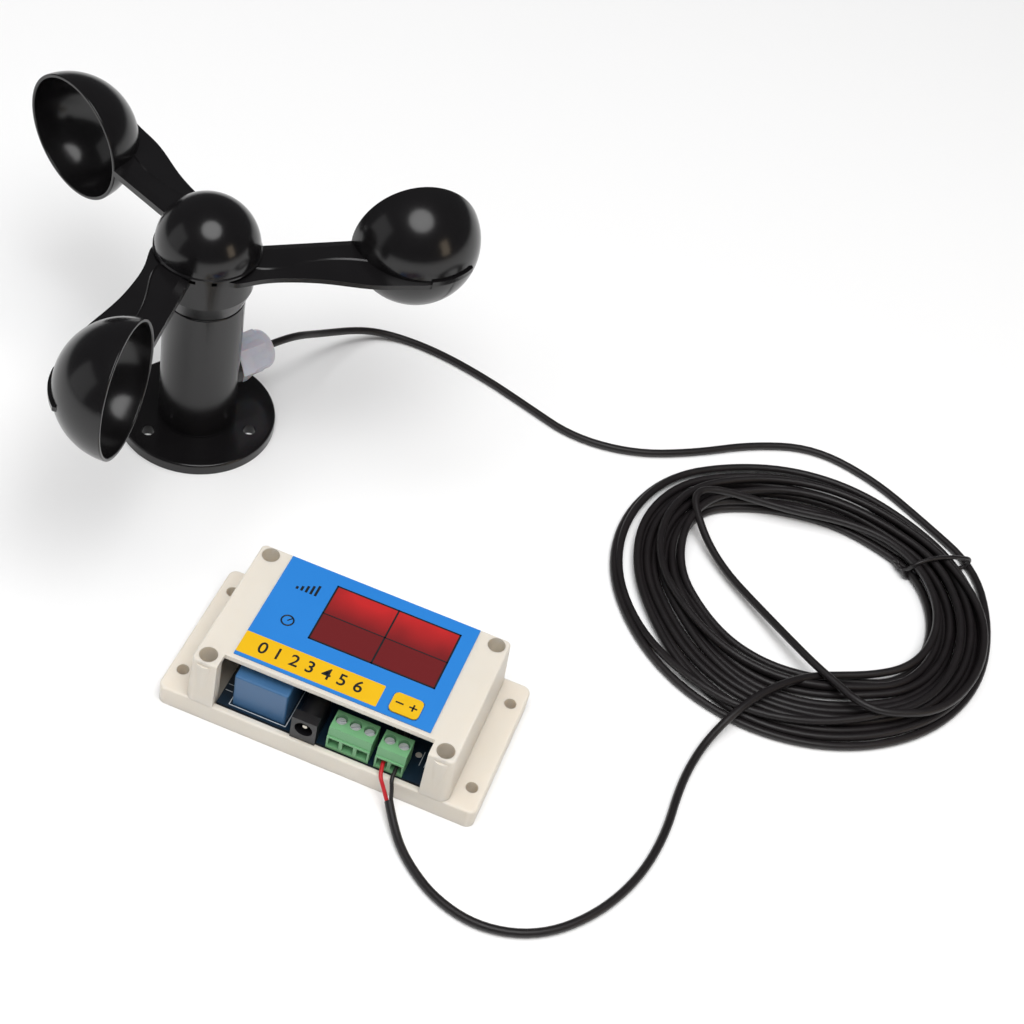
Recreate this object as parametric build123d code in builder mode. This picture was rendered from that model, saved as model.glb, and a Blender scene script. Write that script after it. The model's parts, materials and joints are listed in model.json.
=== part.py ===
from build123d import *
import os
from math import cos, radians, sin, tan

os.makedirs("parts", exist_ok=True)

# Three-cup wind sensor on a bolt flange, its cable, and the display unit at the cable's other end.
# Millimetres. Origin: centre of the flange's bottom face. +Z: the rotor's axis.

# --- driving dimensions: post and flange ---
FLANGE_D = 60.0
FLANGE_T = 4.4
FLANGE_WEB = 2.6  # left above the pocket under the flange
FLANGE_EDGE = 1.0
BOLT_PCD = 44.0
BOLT_HOLE_D = 5.0
BOLT_BOSS_D = 11.0
BOLT_COUNT = 3
POST_D = 29.5
POST_WALL = 2.6
POST_TOP = 64.0
NECK_D = 19.0
NECK_TOP = 74.0
FOOT_BEAD = 0.5
FLOOR_T = 2.0  # bottom plate
GASKET_T = 0.6
FLOOR_LEDGE = 1.3
SEAT_CLEAR = 0.15  # round what drops into a recess

# --- bearings and shaft ---
SHAFT_D = 4.0
RACE_OD = 13.0
RACE_W = 5.0
BALL_D = 2.38
BALL_COUNT = 7
BALL_GAP = 0.25
RACE_LAND = 1.0
LOWER_RACE_Z = 49.0
UPPER_RACE_Z = 68.0
WEB_Z = 48.0
SHOULDER_D = 10.5
CLIP_T = 0.8

# --- rotor ---
ROTOR_AZ = 36.5
CUP_COUNT = 3
CUP_R = 24.2
CUP_WALL = 1.4
ARM_REACH = 76.2
ARM_Z = 84.5
ARM_T = 3.0
HUB_R = 17.4
HUB_GAP = 0.6
HUB_CONE_H = 6.6
HUB_CAVITY_R = 12.6
HUB_DISC_T = 7.0
SEAT_Z = ARM_Z - ARM_T / 2
CAP_R = 18.7
CAP_WALL = 2.0
CAP_BEAD = 0.5
NUT_AF = 7.0
NUT_T = 3.2
WASHER_T = 0.8
ROOT_BORE_R = 6.5
CLAMP_SCREW_R = 11.3
CLAMP_SCREW_D = 2.5

# --- pick-up ---
BOARD_GAP = 0.5
PICKUP_Z = 36.0
PICKUP_T = 1.2
PICKUP_SCREW_R = 9.6
CARRIER_R = 6.0
CARRIER_T = 5.0
CARRIER_Z = 41.0
MAGNET_D = 3.0
MAGNET_T = 2.5
MAGNET_R = 4.0
REED_D = 2.0
REED_L = 8.0

# --- gland and cable ---
GLAND_AZ = 60.0
GLAND_Z = 23.5
GLAND_SEAT = 12.8  # flat sunk in the post, from the axis
GLAND_PAD = 8.6  # flat inside the post, from the axis
GLAND_THREAD_D = 12.2
GLAND_FREE = 0.3
GLAND_AF = 17.0
GLAND_HEX_T = 5.2
GLAND_END = 30.8
GLAND_NUT_D = 17.6
GLAND_NOSE_D = 10.0
ORING_T = 1.0
LOCKNUT_T = 3.2
CABLE_D = 3.0
CORE_D = 1.4
TAIL_END = 2.0

# --- coil ---
COIL_X = 240.0
COIL_Y = 26.0
COIL_R = 61.5
COIL_W = 23.0
COIL_H = 9.6
COIL_STEP = 30.0  # degrees between the radii below, clockwise from the tie
COIL_INNER = [50.0, 52.0, 49.5, 38.5, 35.5, 36.0, 38.0, 45.0, 50.0, 43.0, 40.0, 42.5]
COIL_OUTER = [73.0, 76.5, 73.5, 70.5, 69.5, 71.5, 72.0, 74.0, 73.5, 68.5, 67.5, 68.5]
TIE_T = 0.7
TIE_W = 4.0
TIE_AZ = 39.0

# --- display unit ---
DISP_X = 105.0
DISP_Y = -97.0
BASE_L = 115.0
BASE_W = 57.5
BASE_H = 8.5
CASE_H = 29.5
COVER_L = 95.0
CASE_WALL = 2.0
CASE_DRAFT = 3.0
CORNER_R = 3.0
EAR_PITCH_X = 105.5
EAR_PITCH_Y = 38.0
EAR_HOLE_D = 4.3
SCREW_PITCH_X = 84.0
SCREW_PITCH_Y = 48.0
PILLAR_D = 9.0
PILLAR_BORE_D = 6.2
PILLAR_FLOOR = 15.5
CASE_SCREW_D = 3.0
CASE_SCREW_HEAD_D = 5.6
CASE_SCREW_HEAD_T = 2.2
NOTCH_L = 74.6
NOTCH_BACK = -21.6
BOARD_L = 74.0
BOARD_W = 52.0
BOARD_Z = 7.0
BOARD_T = 1.6
LABEL_L = 70.0
LABEL_FRONT = -20.0
LABEL_BACK = 27.0
LABEL_T = 0.4
WINDOW_L = 45.8
WINDOW_W = 25.3
WINDOW_X = 6.9
WINDOW_Y = 9.4
WINDOW_T = 1.5
WINDOW_LIP = 1.5
KEY_X = 24.0
KEY_Y = -14.0
KEY_L = 10.4
KEY_W = 8.0
KEY_T = 0.5
KEY_STEM_D = 4.6
KEY_TRAVEL = 0.25
KEY_FREE = 0.35
POLE_PITCH = 5.08
TERMINAL_DEPTH = 8.8
TERMINAL_H = 10.0
TERMINAL_FRONT = -26.1
TERMINAL_3_X = 10.3
TERMINAL_2_X = 25.1
ENTRY_W = 3.8
ENTRY_H = 4.2
ENTRY_RISE = 1.3
TERMINAL_SCREW_D = 3.6
RELAY_L = 19.2
RELAY_W = 15.4
RELAY_H = 15.3
RELAY_X = -22.6
RELAY_FRONT = -24.2
JACK_W = 9.0
JACK_L = 14.0
JACK_H = 11.0
JACK_X = -5.2
JACK_FRONT = -27.5
JACK_BORE_D = 6.4
JACK_BORE_DEPTH = 9.5
JACK_AXIS_RISE = 6.5
JACK_PIN_D = 2.1

POST_R = POST_D / 2
CAVITY_R = POST_R - POST_WALL
BOARD_TOP = BOARD_Z + BOARD_T
COVER_UNDER = CASE_H - CASE_WALL


def direction(azimuth):
    """Unit vector in the ground plane at an azimuth in degrees."""
    return Vector(cos(radians(azimuth)), sin(radians(azimuth)), 0)


def polar(radius, azimuth, height):
    """Point at a radius, azimuth and height round the rotor's axis."""
    return Vector(0, 0, height) + direction(azimuth) * radius


def gland_plane(distance):
    """Plane across the gland's axis, facing outward, at a distance from the rotor's axis."""
    side = direction(GLAND_AZ + 90)
    return Plane(origin=polar(distance, GLAND_AZ, GLAND_Z), x_dir=side, z_dir=direction(GLAND_AZ))


def disp_plane(height, x=0.0, y=0.0):
    """Horizontal plane of the display unit, centred on its case or on a point of it."""
    return Plane(origin=(DISP_X + x, DISP_Y + y, height))


def disp_front(y):
    """Upright plane of the display unit that faces its open front, at a depth y."""
    return Plane(origin=(DISP_X, DISP_Y + y, 0), x_dir=(1, 0, 0), z_dir=(0, -1, 0))


def corner_radii(route, name):
    """Radius of each corner's arc: 0.45 of the shorter run over the tangent of half the turn."""
    runs = [Vector(*b) - Vector(*a) for a, b in zip(route, route[1:])]
    radii = []
    for before, after in zip(runs, runs[1:]):
        half_turn = radians(before.get_angle(after)) / 2
        radii.append(0.45 * min(before.length, after.length) / tan(half_turn))
    print(name, "radii", [round(r, 1) for r in radii])
    return radii


# ---------------------------------------------------------------- post and what is fixed in it
BOTTOM_SCREW_R = 9.2
BOTTOM_BOSS_D = 6.4
BOTTOM_BOSS_TOP = 12.0
BOTTOM_SCREW_D = 2.2
BOTTOM_SCREW_HEAD_D = 4.2
BOTTOM_SCREW_L = 7.0
BOTTOM_AZ = 0.0
FLOOR_R = CAVITY_R + FLOOR_LEDGE
FLOOR_TOP = FLOOR_T + GASKET_T
POCKET_OUTER_R = FLANGE_D / 2 - 3.0
POCKET_INNER_R = FLOOR_R + 2.2
PICKUP_BOSS_D = 5.4
PICKUP_SCREW_D = 1.8
PICKUP_AZ = GLAND_AZ + 90
PAD_D = 20.6

with BuildPart() as post_body:
    with BuildSketch(Plane.XY):
        Circle(FLANGE_D / 2)
    extrude(amount=FLANGE_T)
    fillet(post_body.edges().filter_by(GeomType.CIRCLE).sort_by(Axis.Z)[-1], FLANGE_EDGE)
    with BuildSketch(Plane.XY.offset(FLANGE_T)):
        Circle(POST_R + FOOT_BEAD)
    extrude(amount=FOOT_BEAD)
    with BuildSketch(Plane.XY):
        Circle(POST_R)
    extrude(amount=POST_TOP)
    fillet(post_body.edges().filter_by(GeomType.CIRCLE).sort_by(Axis.Z)[-1], FOOT_BEAD)
    with BuildSketch(Plane.XY.offset(POST_TOP)):
        Circle(NECK_D / 2)
    extrude(amount=NECK_TOP - POST_TOP)
    # pocket under the flange, with the bolt bosses left standing
    with BuildSketch(Plane.XY):
        Circle(POCKET_OUTER_R)
        Circle(POCKET_INNER_R, mode=Mode.SUBTRACT)
        with PolarLocations(BOLT_PCD / 2, BOLT_COUNT):
            Circle(BOLT_BOSS_D / 2, mode=Mode.SUBTRACT)
    extrude(amount=FLANGE_T - FLANGE_WEB, mode=Mode.SUBTRACT)
    with BuildSketch(Plane.XY):
        with PolarLocations(BOLT_PCD / 2, BOLT_COUNT):
            Circle(BOLT_HOLE_D / 2)
    extrude(amount=FLANGE_T, mode=Mode.SUBTRACT)
    # inside: recess for the floor, cavity, bearing bores
    with BuildSketch(Plane.XY):
        Circle(FLOOR_R + SEAT_CLEAR)
    extrude(amount=FLOOR_TOP, mode=Mode.SUBTRACT)
    with BuildSketch(Plane.XY):
        Circle(CAVITY_R)
    extrude(amount=WEB_Z, mode=Mode.SUBTRACT)
    with BuildSketch(Plane.XY.offset(WEB_Z)):
        Circle(RACE_OD / 2)
    extrude(amount=LOWER_RACE_Z + RACE_W - WEB_Z, mode=Mode.SUBTRACT)
    with BuildSketch(Plane.XY.offset(WEB_Z)):
        Circle(SHOULDER_D / 2)
    extrude(amount=NECK_TOP - WEB_Z, mode=Mode.SUBTRACT)
    with BuildSketch(Plane.XY.offset(UPPER_RACE_Z)):
        Circle(RACE_OD / 2)
    extrude(amount=NECK_TOP - UPPER_RACE_Z, mode=Mode.SUBTRACT)
    # bosses for the floor's screws and for the pick-up board's screws
    with BuildSketch(Plane.XY.offset(FLOOR_TOP)):
        with PolarLocations(BOTTOM_SCREW_R, BOLT_COUNT, start_angle=BOTTOM_AZ):
            Circle(BOTTOM_BOSS_D / 2)
        Circle(POST_R - POST_WALL / 2, mode=Mode.INTERSECT)
    extrude(amount=BOTTOM_BOSS_TOP - FLOOR_TOP)
    with BuildSketch(Plane.XY.offset(FLOOR_TOP)):
        with PolarLocations(BOTTOM_SCREW_R, BOLT_COUNT, start_angle=BOTTOM_AZ):
            Circle(BOTTOM_SCREW_D / 2)
    extrude(amount=BOTTOM_SCREW_L, mode=Mode.SUBTRACT)
    with BuildSketch(Plane.XY.offset(PICKUP_Z + PICKUP_T)):
        with PolarLocations(PICKUP_SCREW_R, 2, start_angle=PICKUP_AZ):
            Circle(PICKUP_BOSS_D / 2)
        Circle(POST_R - POST_WALL / 2, mode=Mode.INTERSECT)
    extrude(amount=WEB_Z - PICKUP_Z - PICKUP_T)
    with BuildSketch(Plane.XY.offset(PICKUP_Z + PICKUP_T)):
        with PolarLocations(PICKUP_SCREW_R, 2, start_angle=PICKUP_AZ):
            Circle(PICKUP_SCREW_D / 2)
    extrude(amount=BOTTOM_SCREW_L, mode=Mode.SUBTRACT)
    # pad inside, flat outside and hole through the wall for the gland
    with BuildSketch(gland_plane(GLAND_PAD)):
        Circle(PAD_D / 2)
    extrude(amount=GLAND_SEAT - GLAND_PAD)
    with BuildSketch(gland_plane(GLAND_SEAT)):
        Circle(PAD_D / 2)
    extrude(amount=POST_R, mode=Mode.SUBTRACT)
    with BuildSketch(gland_plane(GLAND_PAD)):
        Circle(GLAND_THREAD_D / 2 + GLAND_FREE / 2)
    extrude(amount=POST_R, mode=Mode.SUBTRACT)
post_body.part.label = "post_body"
export_step(post_body.part, "parts/post_body.step")

with BuildPart() as bottom_plate:
    with BuildSketch(Plane.XY):
        Circle(FLOOR_R)
        with PolarLocations(BOTTOM_SCREW_R, BOLT_COUNT, start_angle=BOTTOM_AZ):
            Circle(BOTTOM_SCREW_D / 2, mode=Mode.SUBTRACT)
    extrude(amount=FLOOR_T)
    with BuildSketch(Plane.XY):
        with PolarLocations(BOTTOM_SCREW_R, BOLT_COUNT, start_angle=BOTTOM_AZ):
            Circle(BOTTOM_SCREW_HEAD_D / 2)
    extrude(amount=FLOOR_T * 0.6, mode=Mode.SUBTRACT)
bottom_plate.part.label = "bottom_plate"
export_step(bottom_plate.part, "parts/bottom_plate.step")

with BuildPart() as bottom_gasket:
    with BuildSketch(Plane.XY.offset(FLOOR_T)):
        Circle(FLOOR_R)
        Circle(CAVITY_R, mode=Mode.SUBTRACT)
    extrude(amount=GASKET_T)
bottom_gasket.part.label = "bottom_gasket"
export_step(bottom_gasket.part, "parts/bottom_gasket.step")

with BuildPart() as bottom_screws:
    with BuildSketch(Plane.XY.offset(0.1)):
        with PolarLocations(BOTTOM_SCREW_R, BOLT_COUNT, start_angle=BOTTOM_AZ):
            Circle(BOTTOM_SCREW_HEAD_D / 2 - SEAT_CLEAR)
    extrude(amount=FLOOR_T * 0.6 - 0.1)
    with BuildSketch(Plane.XY.offset(FLOOR_T * 0.6)):
        with PolarLocations(BOTTOM_SCREW_R, BOLT_COUNT, start_angle=BOTTOM_AZ):
            Circle(BOTTOM_SCREW_D / 2)
    extrude(amount=BOTTOM_SCREW_L)
bottom_screws.part.label = "bottom_screws"
export_step(bottom_screws.part, "parts/bottom_screws.step")

RACE_PITCH_R = (SHAFT_D / 2 + RACE_OD / 2) / 2
RACES = {"lower_bearing": LOWER_RACE_Z, "upper_bearing": UPPER_RACE_Z}
for race_name, race_z in RACES.items():
    ball_z = race_z + RACE_W / 2
    with BuildPart() as outer_race:
        with BuildSketch(Plane.XY.offset(race_z)):
            Circle(RACE_OD / 2)
            Circle(RACE_PITCH_R + RACE_LAND, mode=Mode.SUBTRACT)
        extrude(amount=RACE_W)
        with BuildSketch(Plane.XZ):
            with Locations((RACE_PITCH_R, ball_z)):
                Circle(BALL_D / 2 + BALL_GAP / 5)
        revolve(axis=Axis.Z, mode=Mode.SUBTRACT)
    outer_race.part.label = race_name + "_outer"
    export_step(outer_race.part, f"parts/{race_name}_outer.step")

    with BuildPart() as inner_race:
        with BuildSketch(Plane.XY.offset(race_z)):
            Circle(RACE_PITCH_R - RACE_LAND)
            Circle(SHAFT_D / 2, mode=Mode.SUBTRACT)
        extrude(amount=RACE_W)
        with BuildSketch(Plane.XZ):
            with Locations((RACE_PITCH_R, ball_z)):
                Circle(BALL_D / 2 + BALL_GAP)
        revolve(axis=Axis.Z, mode=Mode.SUBTRACT)
    inner_race.part.label = race_name + "_inner"
    export_step(inner_race.part, f"parts/{race_name}_inner.step")

    with BuildPart() as balls:
        with Locations((0, 0, ball_z)):
            with PolarLocations(RACE_PITCH_R, BALL_COUNT):
                Sphere(BALL_D / 2)
    balls.part.label = race_name + "_balls"
    export_step(balls.part, f"parts/{race_name}_balls.step")

with BuildPart() as pickup_board:
    with BuildSketch(Plane.XY.offset(PICKUP_Z)):
        Circle(CAVITY_R - BOARD_GAP)
        with PolarLocations(PICKUP_SCREW_R, 2, start_angle=PICKUP_AZ):
            Circle(PICKUP_SCREW_D / 2, mode=Mode.SUBTRACT)
    extrude(amount=PICKUP_T)
pickup_board.part.label = "pickup_board"
export_step(pickup_board.part, "parts/pickup_board.step")

PICKUP_HEAD_D = 3.4
PICKUP_HEAD_T = 1.2
with BuildPart() as pickup_screws:
    with BuildSketch(Plane.XY.offset(PICKUP_Z - PICKUP_HEAD_T)):
        with PolarLocations(PICKUP_SCREW_R, 2, start_angle=PICKUP_AZ):
            Circle(PICKUP_HEAD_D / 2)
    extrude(amount=PICKUP_HEAD_T)
    with BuildSketch(Plane.XY.offset(PICKUP_Z)):
        with PolarLocations(PICKUP_SCREW_R, 2, start_angle=PICKUP_AZ):
            Circle(PICKUP_SCREW_D / 2)
    extrude(amount=PICKUP_T + BOTTOM_SCREW_L / 2)
pickup_screws.part.label = "pickup_screws"
export_step(pickup_screws.part, "parts/pickup_screws.step")

REED_Z = PICKUP_Z + PICKUP_T + REED_D / 2
REED_LEAD_D = 0.6
with BuildPart() as reed_switch:
    with BuildSketch(Plane.YZ.offset(-REED_L / 2)):
        with Locations((MAGNET_R, REED_Z)):
            Circle(REED_D / 2)
    extrude(amount=REED_L)
    with BuildSketch(Plane.YZ.offset(-REED_L / 2 - REED_D / 2)):
        with Locations((MAGNET_R, REED_Z)):
            Circle(REED_LEAD_D / 2)
    extrude(amount=REED_L + REED_D)
reed_switch.part.label = "reed_switch"
export_step(reed_switch.part, "parts/reed_switch.step")

# ---------------------------------------------------------------- gland, from the post outward
GLAND_FACE = GLAND_SEAT + ORING_T
GLAND_FRONT = GLAND_FACE + GLAND_HEX_T
GLAND_NUT_START = GLAND_FRONT + 0.4
GLAND_NUT_STRAIGHT = 7.0
GLAND_TUBE_END = GLAND_END - 4.6
GLAND_BORE_D = 6.0
SEAL_D = 9.0
SEAL_START = GLAND_FRONT + 1.0
SEAL_END = GLAND_TUBE_END - 0.6

with BuildPart() as gland_body:
    with BuildSketch(gland_plane(GLAND_PAD - LOCKNUT_T - 0.6)):
        Circle(GLAND_THREAD_D / 2)
    extrude(amount=GLAND_TUBE_END - GLAND_PAD + LOCKNUT_T + 0.6)
    with BuildSketch(gland_plane(GLAND_FACE)):
        RegularPolygon(GLAND_AF / 2, 6, major_radius=False)
    extrude(amount=GLAND_HEX_T)
    with BuildSketch(gland_plane(0)):
        Circle(GLAND_BORE_D / 2)
    extrude(amount=GLAND_END, mode=Mode.SUBTRACT)
    with BuildSketch(gland_plane(SEAL_START)):
        Circle(SEAL_D / 2)
    extrude(amount=GLAND_END, mode=Mode.SUBTRACT)
gland_body.part.label = "gland_body"
export_step(gland_body.part, "parts/gland_body.step")

with BuildPart() as gland_nut:
    with BuildSketch(gland_plane(GLAND_NUT_START)):
        RegularPolygon(GLAND_NUT_D / 2, 6, major_radius=True)
    extrude(amount=GLAND_NUT_STRAIGHT)
    with BuildSketch(gland_plane(GLAND_NUT_START)):
        Circle(GLAND_AF / 2 - 0.7)
    extrude(amount=GLAND_END - GLAND_NUT_START)
    nose = gland_nut.faces().sort_by(lambda face: face.center().dot(direction(GLAND_AZ)))[-1]
    fillet(nose.edges(), (GLAND_AF - GLAND_NOSE_D) / 2 - 0.2)
    with BuildSketch(gland_plane(GLAND_NUT_START)):
        Circle(GLAND_THREAD_D / 2)
    extrude(amount=GLAND_TUBE_END + 0.4 - GLAND_NUT_START, mode=Mode.SUBTRACT)
    with BuildSketch(gland_plane(GLAND_NUT_START)):
        Circle(CABLE_D / 2 + 0.15)
    extrude(amount=GLAND_END, mode=Mode.SUBTRACT)
gland_nut.part.label = "gland_nut"
export_step(gland_nut.part, "parts/gland_nut.step")

with BuildPart() as gland_seal:
    with BuildSketch(gland_plane(SEAL_START)):
        Circle(SEAL_D / 2)
        Circle(CABLE_D / 2, mode=Mode.SUBTRACT)
    extrude(amount=SEAL_END - SEAL_START)
gland_seal.part.label = "gland_seal"
export_step(gland_seal.part, "parts/gland_seal.step")

with BuildPart() as gland_oring:
    with BuildSketch(gland_plane(GLAND_SEAT)):
        Circle(GLAND_AF / 2 - 0.6)
        Circle(GLAND_THREAD_D / 2 + GLAND_FREE / 2, mode=Mode.SUBTRACT)
    extrude(amount=ORING_T)
gland_oring.part.label = "gland_oring"
export_step(gland_oring.part, "parts/gland_oring.step")

with BuildPart() as gland_locknut:
    with BuildSketch(gland_plane(GLAND_PAD - LOCKNUT_T)):
        RegularPolygon(GLAND_AF / 2 - 1.0, 6, major_radius=False)
        Circle(GLAND_THREAD_D / 2, mode=Mode.SUBTRACT)
    extrude(amount=LOCKNUT_T)
gland_locknut.part.label = "gland_locknut"
export_step(gland_locknut.part, "parts/gland_locknut.step")

with BuildPart() as cable_tail:
    with BuildSketch(gland_plane(TAIL_END)):
        Circle(CABLE_D / 2)
    extrude(amount=GLAND_END - TAIL_END)
cable_tail.part.label = "cable_tail"
export_step(cable_tail.part, "parts/cable_tail.step")

INNER_CORE_D = 1.2
with BuildPart() as inner_cores:
    for side in (-1, 1):
        start = polar(TAIL_END, GLAND_AZ, GLAND_Z) + direction(GLAND_AZ + 90) * side * INNER_CORE_D * 0.6
        bend = start - direction(GLAND_AZ) * 5.0
        top = Vector(bend.X, bend.Y, PICKUP_Z)
        core_route = [start, bend, top]
        with BuildLine():
            FilletPolyline(*core_route, radius=corner_radii(core_route, "inner core"))
        with BuildSketch(Plane(origin=start, z_dir=bend - start)):
            Circle(INNER_CORE_D / 2)
        sweep()
inner_cores.part.label = "inner_cores"
export_step(inner_cores.part, "parts/inner_cores.step")

# ---------------------------------------------------------------- rotor
HUB_BOTTOM = POST_TOP + HUB_GAP
HUB_FOOT_R = POST_R
DISC_Z = SEAT_Z - HUB_DISC_T
BOSS_R = RACE_PITCH_R - RACE_LAND
CAP_Z = ARM_Z + ARM_T / 2
CAP_CENTRE_Z = CAP_Z + 1.2
CLAMP_AZ = ROTOR_AZ - 45
SPACER_AZ = ROTOR_AZ - 105
CLAMP_HEAD_D = 4.4
CLAMP_HEAD_T = 1.6
CLAMP_TOP = CAP_Z + 6.0

with BuildPart() as rotor_hub:
    with BuildSketch(Plane.XZ):
        with BuildLine():
            Polyline(
                (0, SEAT_Z),
                (HUB_R, SEAT_Z),
                (HUB_R - 0.3, HUB_BOTTOM + HUB_CONE_H),
                (HUB_FOOT_R, HUB_BOTTOM),
                (HUB_CAVITY_R, HUB_BOTTOM),
                (HUB_CAVITY_R, DISC_Z),
                (BOSS_R, DISC_Z),
                (BOSS_R, UPPER_RACE_Z + RACE_W),
                (0, UPPER_RACE_Z + RACE_W),
                close=True,
            )
        make_face()
    revolve(axis=Axis.Z)
    # spacers between the arm roots
    with BuildSketch(Plane.XY.offset(SEAT_Z)):
        with PolarLocations(HUB_R, CUP_COUNT, start_angle=SPACER_AZ):
            Rectangle(8.0, 5.6)
        Circle(HUB_R, mode=Mode.INTERSECT)
    extrude(amount=ARM_T)
    with BuildSketch(Plane.XY.offset(UPPER_RACE_Z + RACE_W)):
        Circle(SHAFT_D / 2)
    extrude(amount=SEAT_Z, mode=Mode.SUBTRACT)
    with BuildSketch(Plane.XY.offset(DISC_Z)):
        with PolarLocations(CLAMP_SCREW_R, CUP_COUNT, start_angle=CLAMP_AZ):
            Circle(CLAMP_SCREW_D / 2)
    extrude(amount=SEAT_Z - DISC_Z, mode=Mode.SUBTRACT)
    with BuildSketch(Plane.XY.offset(DISC_Z)):
        with PolarLocations(CLAMP_SCREW_R, CUP_COUNT, start_angle=CLAMP_AZ):
            Circle(CLAMP_HEAD_D / 2)
    extrude(amount=CLAMP_HEAD_T, mode=Mode.SUBTRACT)
rotor_hub.part.label = "rotor_hub"
export_step(rotor_hub.part, "parts/rotor_hub.step")

with BuildPart() as rotor_cap:
    with BuildSketch(Plane.XZ):
        with BuildLine():
            Line((CAP_R - CAP_WALL, CAP_Z), (CAP_R + CAP_BEAD, CAP_Z))
            Line((CAP_R + CAP_BEAD, CAP_Z), (CAP_R + CAP_BEAD, CAP_Z + 0.7))
            Line((CAP_R + CAP_BEAD, CAP_Z + 0.7), (CAP_R, CAP_CENTRE_Z))
            RadiusArc((CAP_R, CAP_CENTRE_Z), (0, CAP_CENTRE_Z + CAP_R), -CAP_R)
            Line((0, CAP_CENTRE_Z + CAP_R), (0, CAP_CENTRE_Z + CAP_R - CAP_WALL))
            RadiusArc(
                (0, CAP_CENTRE_Z + CAP_R - CAP_WALL),
                (CAP_R - CAP_WALL, CAP_CENTRE_Z),
                CAP_R - CAP_WALL,
            )
            Line((CAP_R - CAP_WALL, CAP_CENTRE_Z), (CAP_R - CAP_WALL, CAP_Z))
        make_face()
    revolve(axis=Axis.Z)
    with BuildSketch(Plane.XY.offset(CAP_Z)):
        with PolarLocations(CLAMP_SCREW_R, CUP_COUNT, start_angle=CLAMP_AZ):
            Circle(CLAMP_SCREW_D / 2 + 1.8)
    extrude(amount=10.0)
    with BuildSketch(Plane.XY.offset(CAP_Z)):
        with PolarLocations(CLAMP_SCREW_R, CUP_COUNT, start_angle=CLAMP_AZ):
            Circle(CLAMP_SCREW_D / 2)
    extrude(amount=7.0, mode=Mode.SUBTRACT)
rotor_cap.part.label = "rotor_cap"
export_step(rotor_cap.part, "parts/rotor_cap.step")

# Arm along +X, cup opening toward +Y. Each station: distance along the arm, crease and far edge.
EDGE_DROP = 0.8  # the arm's top face, down from its two ridges
FACE_DROP = 0.35
CREASE_STEP = 0.45
CREASE_STEP_W = 0.5
FAR_DROP = 1.5
RIDGE_IN = -3.1
PLATE_T = 2.6
FIN_T = 2.0
FIN_OUT = 1.0
RIM_ROUND = 0.45
CUP_CENTRE = (ARM_REACH, 0, ARM_Z)
ARM_STATIONS = [
    (4.0, -12.7, -17.0),
    (HUB_R, -12.6, -17.0),
    (28.0, -11.4, -17.4),
    (36.0, -9.9, -18.6),
    (44.0, -9.6, -20.6),
    (ARM_REACH - CUP_R, -10.7, -22.9),
    (ARM_REACH - CUP_R * 0.7, -13.0, -24.2),
    (ARM_REACH - CUP_R * 0.35, -15.5, -24.9),
    (ARM_REACH, -17.0, -25.2),
]

with BuildPart() as cup_arm:
    for along, crease, far in ARM_STATIONS:
        with BuildSketch(Plane.YZ.offset(along)):
            with BuildLine():
                Polyline(
                    (0, CAP_Z - EDGE_DROP),
                    (RIDGE_IN, CAP_Z),
                    (crease + CREASE_STEP_W, CAP_Z - FACE_DROP),
                    (crease, CAP_Z),
                    (crease - CREASE_STEP_W, CAP_Z - CREASE_STEP),
                    (far, CAP_Z - FAR_DROP),
                    (far, CAP_Z - FAR_DROP - PLATE_T + 0.6),
                    (crease, CAP_Z - PLATE_T),
                    (0, CAP_Z - EDGE_DROP - PLATE_T),
                    close=True,
                )
            make_face()
    loft()
    with BuildSketch(Plane.XY.offset(ARM_Z - ARM_T)):
        Circle(HUB_R + 0.3)
    extrude(amount=2 * ARM_T, mode=Mode.SUBTRACT)
    # root: the quarter of the hub's seat that this arm takes
    with BuildSketch(Plane.XY.offset(SEAT_Z)):
        with Locations((HUB_R, -HUB_R)):
            Rectangle(2 * HUB_R, 2 * HUB_R)
        Circle(HUB_R + 0.4, mode=Mode.INTERSECT)
        Circle(ROOT_BORE_R, mode=Mode.SUBTRACT)
    extrude(amount=ARM_T)
    with BuildSketch(Plane.XY.offset(SEAT_Z)):
        with PolarLocations(CLAMP_SCREW_R, 1, start_angle=CLAMP_AZ - ROTOR_AZ):
            Circle(CLAMP_SCREW_D / 2)
    extrude(amount=ARM_T, mode=Mode.SUBTRACT)
    # cup, with the fin that carries the arm's far edge past it
    with Locations(CUP_CENTRE):
        Sphere(CUP_R)
    with BuildSketch(Plane.XY.offset(ARM_Z - FIN_T / 2)):
        with Locations((ARM_REACH, 0)):
            Circle(CUP_R + FIN_OUT)
        with Locations((ARM_REACH + 0.35 * CUP_R, -CUP_R)):
            Rectangle(0.7 * CUP_R, 1.3 * CUP_R, mode=Mode.INTERSECT)
    extrude(amount=FIN_T)
    with Locations(CUP_CENTRE):
        Sphere(CUP_R - CUP_WALL, mode=Mode.SUBTRACT)
    split(bisect_by=Plane.XZ, keep=Keep.TOP)
    rim = cup_arm.edges().filter_by(GeomType.CIRCLE).filter_by_position(Axis.Y, -0.01, 0.01)
    fillet(rim, RIM_ROUND)

for number in range(CUP_COUNT):
    with BuildPart() as turned_arm:
        add(cup_arm.part.rotate(Axis.Z, ROTOR_AZ + number * 360 / CUP_COUNT))
    turned_arm.part.label = f"cup_arm_{number + 1}"
    export_step(turned_arm.part, f"parts/cup_arm_{number + 1}.step")

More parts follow.
